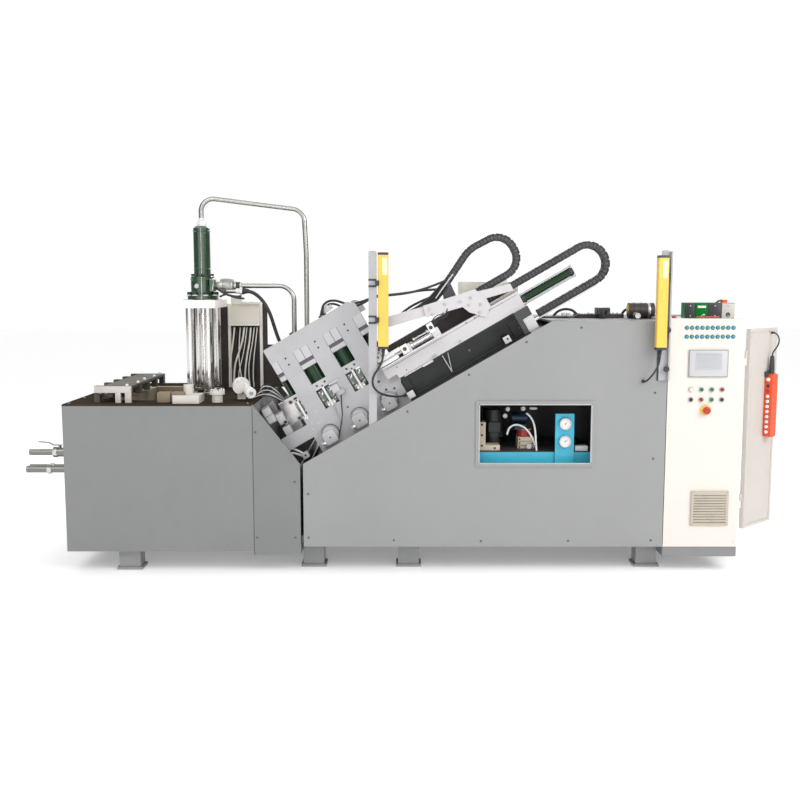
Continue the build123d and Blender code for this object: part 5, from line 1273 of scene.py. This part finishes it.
def link_faces(line, shift):
    """Faces that turn with the path: on the links for shift 0.5, on the pins for shift 1."""
    spots = []
    for (u, v), angle in zip(*stations(line, shift)):
        origin, (a, b, c) = slope_face(u, v, CHAIN_FRONT)
        a, b = np.array(a), np.array(b)
        spots.append((origin, (math.cos(angle) * a + math.sin(angle) * b,
                               math.cos(angle) * b - math.sin(angle) * a, c)))
    return spots


arm_path = rounded_path([(1.19, 0.336), (1.622, 0.336), (1.622, 0.556), (1.4, 0.566), (1.17, 0.452)],
                        [0.104, 0.104, 0.2])
beam_path = rounded_path([(1.328, 0.268), (2.044, 0.268), (2.044, 0.058), (1.56, 0.058)], [0.104, 0.104])
links = link_faces(arm_path, 0.5) + link_faces(beam_path, 0.5)
pins = link_faces(arm_path, 1) + link_faces(beam_path, 1)
hub = turned([(0.0085, 0), (0.0085, 0.0022), (0.0068, 0.003), (0.0045, 0.003), (0.0042, 0.001)], 18)
pad = plate(0.015, 0.02, 0.0016, 0.004, 0.001)
place("chain_pads", pad, links, "chain_pad")
place("chain_hubs", hub, pins, "chain_pad")
ribs = [(plate(0.036, 0.0035, 0.003, 0.001, 0.001) + np.array([0, k * 0.017, 0]), links) for k in (-1, 1)]
solid("chain_ribs", ribs, "chain_plastic")
rungs = [(plate(0.013, 0.003, 0.0015, 0.001, 0.0008) + np.array([0, k * 0.013, 0]), pins) for k in (-1, 1)]
solid("chain_rungs", rungs, "chain_pad")

# %% [markdown]
# ## Injector and junction box
# The shot cylinder's flange has a ring of capped bolts on washers, its body a ring of socket
# screws, and its columns washers above and stepped feet below. Bolts on a circle come from
# one function, which keeps bolts and washers in line.

# %% Bolts, rings and columns
SHOT_X, SHOT_D = -1.2043, 0.66  # axis of the shot cylinder
DECK = 0.955  # height of the furnace deck


def circle_of(count, radius, centre, start):
    """Faces on a circle of the given radius about a level face."""
    t = start + np.arange(count) * 2 * np.pi / count
    (x, y, z), axes = centre
    return [((x + radius * math.cos(v), y + radius * math.sin(v), z), axes) for v in t]


def columns(height):
    """Faces at the four columns at one height."""
    return [top(SHOT_X + i * 0.055, SHOT_D + j * 0.14, height) for i in (-1, 1) for j in (-1, 1)]


flange = circle_of(8, 0.0835, top(SHOT_X, SHOT_D, 1.547), 0.39)
place("flange_bolts", peg(0.013, 0.02, 0.0105, 0.023, 18), flange, "motor_dark")
place("flange_washers", peg(0.0165, 0.005, 0.015, 0.006, 18), flange, "white_paint")
place("body_bolts", cap_screw(0.0095, 0.012), circle_of(8, 0.06, top(SHOT_X, SHOT_D, 1.667), 0.2),
      "motor_dark")
solid("shot_rings", [
    (band(0.051, 0.0535, 0.008, 40), [top(SHOT_X, SHOT_D, z) for z in (1.7, 1.932)]),
    (band(0.072, 0.0745, 0.009, 44), [top(SHOT_X, SHOT_D, z) for z in (1.56, 1.64)]),
], "oil_green")
place("ground_plate", plate(0.222, 0.432, 0.046, 0.003, 0.002), top(SHOT_X, SHOT_D, 1.4755), "light_cream")
solid("top_union", [
    (nut(0.054, 0.034), top(SHOT_X, SHOT_D, 1.9665)),
    (peg(0.0185, 0.012, 0.015, 0.015, 20), top(SHOT_X, SHOT_D, 2.0)),
], "white_paint")
place("port_block", plate(0.03, 0.075, 0.07, 0.004, 0.003), face(SHOT_X + 0.074, 1.61, SHOT_D - 0.03),
      "oil_green")
port = face(SHOT_X - 0.02, 1.605, SHOT_D - 0.07)
solid("cylinder_ports", [
    (nut(0.03, 0.016), port),
    (peg(0.011, 0.024, 0.009, 0.026, 16), port),
], "steel")
place("column_washers", disc(0.0365, 0.004, 28), columns(1.521), "steel")
place("column_feet", peg(0.036, 0.012, 0.0245, 0.02, 28), columns(DECK), "steel")

# %% [markdown]
# The pipes end in white union nuts. A check valve with a stepped sleeve and a black stub
# sits beside the cylinder, and two black leads leave it. Hexagons are drawn for the unions,
# because their flats show at this distance.

# %% Unions, check valve and leads
solid("valve_unions", [
    (nut(0.04, 0.016), [endways(-0.9725, 0.632, 1.575), endways(-0.982, SHOT_D, 1.607)]),
    (disc(0.017, 0.03, 20), endways(-0.996, 0.632, 1.575)),
], "white_paint")
stepped = turned([(0.03, 0), (0.04, 0.006), (0.0445, 0.018), (0.0445, 0.066), (0.04, 0.078),
                  (0.026, 0.084)], 32)
place("valve_sleeve", stepped, endways(-1.094, SHOT_D, 1.607), "worn_steel")
place("valve_stub", disc(0.024, 0.034, 20), endways(-1.01, SHOT_D, 1.607), "black_plastic")
solid("port_leads", [
    tube_at(0.6, [(-1.1, 1.585), (-1.06, 1.56), (-1.03, 1.548), (-0.99, 1.54), (-0.96, 1.545)], 0.007),
    tube_at(0.59, [(-1.09, 1.54), (-1.05, 1.56), (-1.0, 1.535), (-0.94, 1.53)], 0.006),
], "hose_rubber")

# %% [markdown]
# Under the cream junction box pale wires of three sizes and four black ones leave through
# glands and run down to the deck. The box has a cover with four screws and two blocks on
# top. The wires could be copies, but real ones never hang alike, so each has its own five
# points.

# %% Wires, glands and the box's cover
wires = [
    ([(-1.055, 1.354), (-1.066, 1.255), (-1.084, 1.152), (-1.094, 1.07), (-1.094, 0.958)], 0.0055),
    ([(-0.993, 1.352), (-1.003, 1.27), (-1.03, 1.184), (-1.062, 1.098), (-1.068, 0.958)], 0.006),
    ([(-0.952, 1.352), (-0.962, 1.252), (-0.984, 1.145), (-0.996, 1.042), (-0.994, 0.958)], 0.006),
    ([(-0.929, 1.352), (-0.941, 1.252), (-0.962, 1.152), (-0.972, 1.06), (-0.962, 0.958)], 0.0035),
    ([(-1.019, 1.352), (-1.03, 1.229), (-1.033, 1.132), (-1.02, 1.036), (-1.012, 0.958)], 0.0035),
    ([(-0.911, 1.352), (-0.925, 1.235), (-0.939, 1.132), (-0.944, 1.023), (-0.938, 0.958)], 0.0035),
    ([(-0.975, 1.352), (-0.99, 1.24), (-1.01, 1.14), (-1.034, 1.06), (-1.038, 0.958)], 0.003),
]
solid("cream_wires", [tube_at(0.905 + 0.004 * (k % 3), line, radius, 8)
                      for k, (line, radius) in enumerate(wires)], "light_cream")
dark = [tube_at(0.925, [(x, 1.352), (x - 0.012, 1.25), (x + 0.01, 1.13), (x - 0.006, 0.958)], 0.0042, 8)
        for x in (-1.04, -1.006, -0.968, -0.935)]
solid("dark_wires", dark, "hose_rubber")
downward = ((-1, 0, 0), (0, 1, 0), (0, 0, -1))
glands = [((line[0][0], FRONT + 0.905, 1.354), downward) for line, _ in wires]
place("wire_glands", rim(0.0095, 0.006, 0.012), glands, "black_plastic")
BOX_X, BOX_Z = -0.9905, 1.424
solid("box_cover", [
    (plate(0.176, 0.122, 0.002, 0.004, 0.0015), face(BOX_X, BOX_Z, 0.885)),
    (cap_screw(0.0045, 0.003),
     [face(BOX_X + i * 0.08, BOX_Z + j * 0.053, 0.883) for i in (-1, 1) for j in (-1, 1)]),
    (plate(0.07, 0.03, 0.056, 0.004, 0.003), top(-1.0345, 0.88, 1.492)),
    (plate(0.13, 0.03, 0.014, 0.004, 0.003), top(-0.945, 0.88, 1.492)),
], "cream")

# %% [markdown]
# ## Furnace deck and left end
# Two bricks stand beside the opening, the heater frames have rods, lugs and a pale front,
# and the gas valve has its union nuts. Screws hold the deck down. The seam beside the wedge
# takes its height from the solid's box, so it follows its size.

# %% Bricks, heater rods, unions and deck screws
place("cream_bricks", plate(0.074, 0.058, 0.06, 0.004, 0.003),
      [face(-1.319 + 0.08 * k, 0.986, 0.12) for k in range(2)], "brick_tan")
backward = ((1, 0, 0), (0, 0, -1), (0, 1, 0))
rods = [((x, FRONT + 0.086, 1.008), backward) for x in (-1.68, -1.648)]
place("heater_rods", disc(0.005, 0.415, 12), rods, "worn_steel")
lug = turned([(0.01, 0), (0.01, 0.006), (0.008, 0.01), (0.004, 0.013)], 16)
lug_spots = [top(-1.535 + 0.012 * (i % 2), 0.11 + 0.19 * i, 1.046) for i in range(5)]
place("heater_lugs", lug, lug_spots, "white_paint")
solid("heater_front", [
    (plate(0.206, 0.036, 0.022, 0.002, 0.002), face(-1.607, 1.029, 0.0905)),
    (plate(0.034, 0.06, 0.021, 0.002, 0.002), face(-1.5215, 0.984, 0.0905)),
    (plate(0.03, 0.06, 0.021, 0.002, 0.002), face(-1.578, 0.984, 0.0905)),
], "heater_pale")
wedge_low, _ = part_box("wedge_cover")
seam_end = 0.94
seam_height = seam_end - wedge_low[2]
place("wedge_seam", plate(0.0035, seam_height, 0.0008, 0.0008, 0.0003),
      face(wedge_low[0], seam_end - seam_height / 2, 0.0), "plinth_dark")
sixths = np.arange(6) * math.pi / 3
place("flange_face_bolts", nut(0.014, 0.008),
      [top(-1.0273 + 0.033 * math.cos(t), 0.11 + 0.033 * math.sin(t), 1.022) for t in sixths], "steel")
deck_holes = [(x, d) for x in (-1.845, -0.845) for d in (0.04, 0.32, 0.6, 0.88, 1.16)]
deck_holes += [(-1.5, 1.165), (-1.28, 1.165)]
place("deck_screws", cap_screw(0.007, 0.004), [top(x, d, DECK) for x, d in deck_holes], "steel")
place("casing_screws", cap_screw(0.006, 0.003),
      [back_face(x, z, BACK) for x in (-1.845, -0.842) for z in (0.16, 0.53, 0.9)], "frame_grey")
solid("pipe_unions", [
    (nut(0.052, 0.026), [endways(x, 0.15, 0.662) for x in (-1.978, -1.906)]),
    (nut(0.048, 0.024), [endways(x, d, 0.563) for x in (-2.016, -1.905) for d in (0.15, 0.2)]),
    (peg(0.03, 0.01, 0.026, 0.012, 24),
     [endways(-1.872, d, z, -1) for d, z in ((0.15, 0.662), (0.15, 0.563), (0.2, 0.563))]),
], "steel")

# %% [markdown]
# The stepped fitting ends in a round knob that points to the lower right in front. All its
# rings are turned about the line between the two centres, which keeps disc, neck and knob on
# one axis.

# %% Disc, neck and knob
disc_at = np.array([-0.9143, FRONT + 0.262, 1.03])
knob_at = np.array([-0.837, FRONT + 0.128, 1.0])
reach = float(np.linalg.norm(knob_at - disc_at))
out = (knob_at - disc_at) / reach
across = np.cross((0, 0, 1), out) / np.linalg.norm(np.cross((0, 0, 1), out))
up = np.cross(out, across)
oblique = [(tuple(disc_at), (tuple(across), tuple(up), tuple(out)))]
solid("fitting_disc", [
    (turned([(0.05, -0.02), (0.05, -0.004), (0.046, 0.0), (0.02, 0.001)], 40), oblique),
    (turned([(0.03, 0), (0.03, 0.06), (0.022, 0.066), (0.022, 0.12)], 28), oblique),
    (turned([(0.028, 0.116), (0.0315, 0.12), (0.0315, 0.15), (0.028, 0.154), (0.014, 0.154),
             (0.013, 0.148)], 32), oblique),
    (nut(0.016, 0.012), [(tuple(disc_at + 0.037 * (math.cos(t) * across + math.sin(t) * up)),
                          oblique[0][1]) for t in sixths]),
], "white_paint")
place("knob_pit", turned([(0.0075, 0.148), (0.0075, 0.156), (0.006, 0.157)], 18), oblique, "worn_steel")

# %% [markdown]
# ## Hydraulics on the deck and the valve unit
# The pump on the deck has two brown rings, a steel band and a yellow disc on its end. Beside
# it are a knob with a white ring, a black valve on a subplate, hoses and two pale blocks.
# From the front only their outlines show, so plain bands and plates are enough.

# %% Deck hydraulics
place("deck_motor", band(0.0465, 0.0475, 0.012, 36), [endways(x, 0.46, 1.461) for x in (1.385, 1.425)],
      "brown_dark")
place("motor_bands", band(0.0468, 0.0478, 0.012, 36), endways(1.47, 0.46, 1.461), "steel")
place("motor_disc", peg(0.024, 0.006, 0.02, 0.008, 28), endways(1.36, 0.46, 1.47, -1), "safety_yellow")
place("knob_ring", rim(0.016, 0.011, 0.003), face(1.3797, 1.435, 0.3), "white_paint")
solid("deck_valve", [
    (plate(0.034, 0.06, 0.05, 0.004, 0.003), face(1.1997, 1.448, 0.48)),
    (peg(0.016, 0.04, 0.012, 0.044, 22), endways(1.22, 0.52, 1.462)),
], "black_plastic")
place("subplate_screws", cap_screw(0.0075, 0.006),
      [top(x, d, 1.439) for x in (1.075, 1.15, 1.3, 1.325) for d in (0.5, 0.6)], "steel")
place("deck_strip", plate(0.24, 0.12, 0.012, 0.003, 0.003), top(0.955, 0.56, 1.4145), "motor_dark")
lines = [
    [(1.34, 0.56, 1.428), (1.352, 0.56, 1.45), (1.372, 0.55, 1.47), (1.395, 0.53, 1.455),
     (1.4, 0.52, 1.42)],
    [(1.07, 0.54, 1.436), (1.045, 0.545, 1.462), (1.0, 0.55, 1.47), (0.955, 0.555, 1.455),
     (0.93, 0.56, 1.424)],
]
solid("deck_hoses", [(bar(softened([(x, FRONT + d, z) for x, d, z in line], 3), 0.008, 10), HERE)
                     for line in lines], "hose_rubber")
place("pale_blocks", plate(0.022, 0.02, 0.03, 0.003, 0.002),
      [face(0.98 + 0.028 * k, 1.439, 0.5) for k in range(2)], "white_paint")

# %% [markdown]
# The valve unit on the cabinet shows four colours side by side: black, green, dark grey and
# pale grey. It has an orange cap, a short lever, screws and bare white plates. Each colour
# is a thin plate over the solid's front and top, as a solid has one finish only.

# %% The valve unit's four colours
UNIT = 0.144  # depth of the unit's front
unit = [(1.6365, 0.055, "channel_dark"), (1.7005, 0.071, "bright_green"), (1.775, 0.076, "motor_dark"),
        (1.849, 0.07, "valve_pale")]
for k, (x, wide, finish) in enumerate(unit):
    solid(f"valve_body_{k + 1}", [
        (plate(wide, 0.082, 0.006, 0.004, 0.003), face(x, 1.468, 0.15)),
        (plate(wide, 0.078, 0.003, 0.003, 0.002), top(x, 0.19, 1.51)),
    ], finish)
place("valve_caps", turned([(0.016, 0), (0.019, 0.002), (0.019, 0.016), (0.015, 0.02)], 24),
      top(1.838, 0.19, 1.509), "pendant_orange")
place("valve_unit_screws", cap_screw(0.004, 0.003),
      [face(x, z, UNIT) for x, _, _ in unit for z in (1.44, 1.496)], "steel")
solid("valve_label", [
    (plate(0.046, 0.012, 0.001, 0.001, 0.0005), face(1.701, 1.49, UNIT)),
    (plate(0.012, 0.006, 0.001, 0.001, 0.0005), face(1.713, 1.446, UNIT)),
], "white_paint")
# painted shade: a flat black disc where the pale valve has a hole
place("valve_hole_shade", disc(0.013, 0.001, 20), face(1.849, 1.446, UNIT), "black_plastic")
place("valve_base", plate(0.13, 0.01, 0.008, 0.002, 0.002), face(1.738, 1.432, 0.15), "stop_red")
place("top_button", turned([(0.013, 0), (0.013, 0.006), (0.01, 0.011), (0.003, 0.013)], 24),
      top(1.548, 0.15, 1.427), "stop_red")
lever = [(1.79, FRONT + 0.18, 1.511), (1.806, FRONT + 0.18, 1.524), (1.826, FRONT + 0.184, 1.526)]
place("valve_lever", bar(softened(lever), 0.0055), HERE, "black_plastic")

# %% [markdown]
# ## Screws, seams and the far side
# Sheet panels are held by screws along their edges, and a thin dark seam shows where two
# sheets meet. The back has the same rows. The places are a list and not a loop, since the
# real spacing is uneven.

# %% Panel screws and seams
# places of the front panel's screws: X and Z on the front
front_screws = [(-0.51, 0.45), (-0.51, 0.2), (-0.03, 0.185), (0.46, 0.18), (0.95, 0.182), (1.415, 0.185),
                (0.045, 0.915), (0.385, 1.12), (0.385, 1.255), (1.415, 0.65), (1.415, 1.02), (1.0, 1.38),
                (0.7, 1.3)]
both_sides = [face(x, z) for x, z in front_screws] + [back_face(x, z, BACK) for x, z in front_screws]
place("panel_screws", cap_screw(0.006, 0.003), both_sides, "frame_grey")
place("panel_seam", plate(0.003, 1.245, 0.0006, 0.001, 0.0003),
      [face(1.481, 0.7825, 0.0), back_face(1.481, 0.7825, 1.1998)], "motor_dark")
place("wedge_screws", cap_screw(0.006, 0.003),
      [face(x, z, 0.0) for x, z in ((-0.8, 0.2), (-0.8, 0.8), (-0.585, 0.2), (-0.585, 0.52))],
      "frame_grey")

# %% [markdown]
# Behind the head stand a square cover over the drive and an upright sheet. Both are plain
# sheet metal, held by screws near their corners, and the cover has a lid with a thin joint.
# All places come from the solids' own boxes, so the screws follow when a size changes.

# %% Cover and sheet at the back
cover_low, cover_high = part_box("rear_cover")
sheet_low, sheet_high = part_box("wire_panel")
cover_x = (cover_low[0] + 0.022, cover_high[0] - 0.022)
cover_y = (cover_low[1] - FRONT + 0.022, cover_high[1] - FRONT - 0.022)
wide, deep = cover_high[0] - cover_low[0], cover_high[1] - cover_low[1]
place("cover_lid", plate(wide, deep, 0.0015, 0.003, 0.001),
      top(sum(cover_x) / 2, sum(cover_y) / 2, cover_high[2]), "light_cream")
cover_holes = [top(x, d, cover_high[2] + 0.001) for x in cover_x for d in cover_y]
cover_holes += [back_face(x, cover_high[2] - 0.03, cover_high[1] - FRONT) for x in cover_x]
place("cover_screws", cap_screw(0.006, 0.003), cover_holes, "steel")
sheet_x = [sheet_low[0] + step for step in (0.03, 0.25, 0.47)]
sheet_z = (sheet_low[2] + 0.04, sheet_high[2] - 0.03)
sheet_holes = [back_face(x, z, sheet_high[1] - FRONT) for x in sheet_x for z in sheet_z]
place("sheet_screws", cap_screw(0.006, 0.003), sheet_holes, "steel")
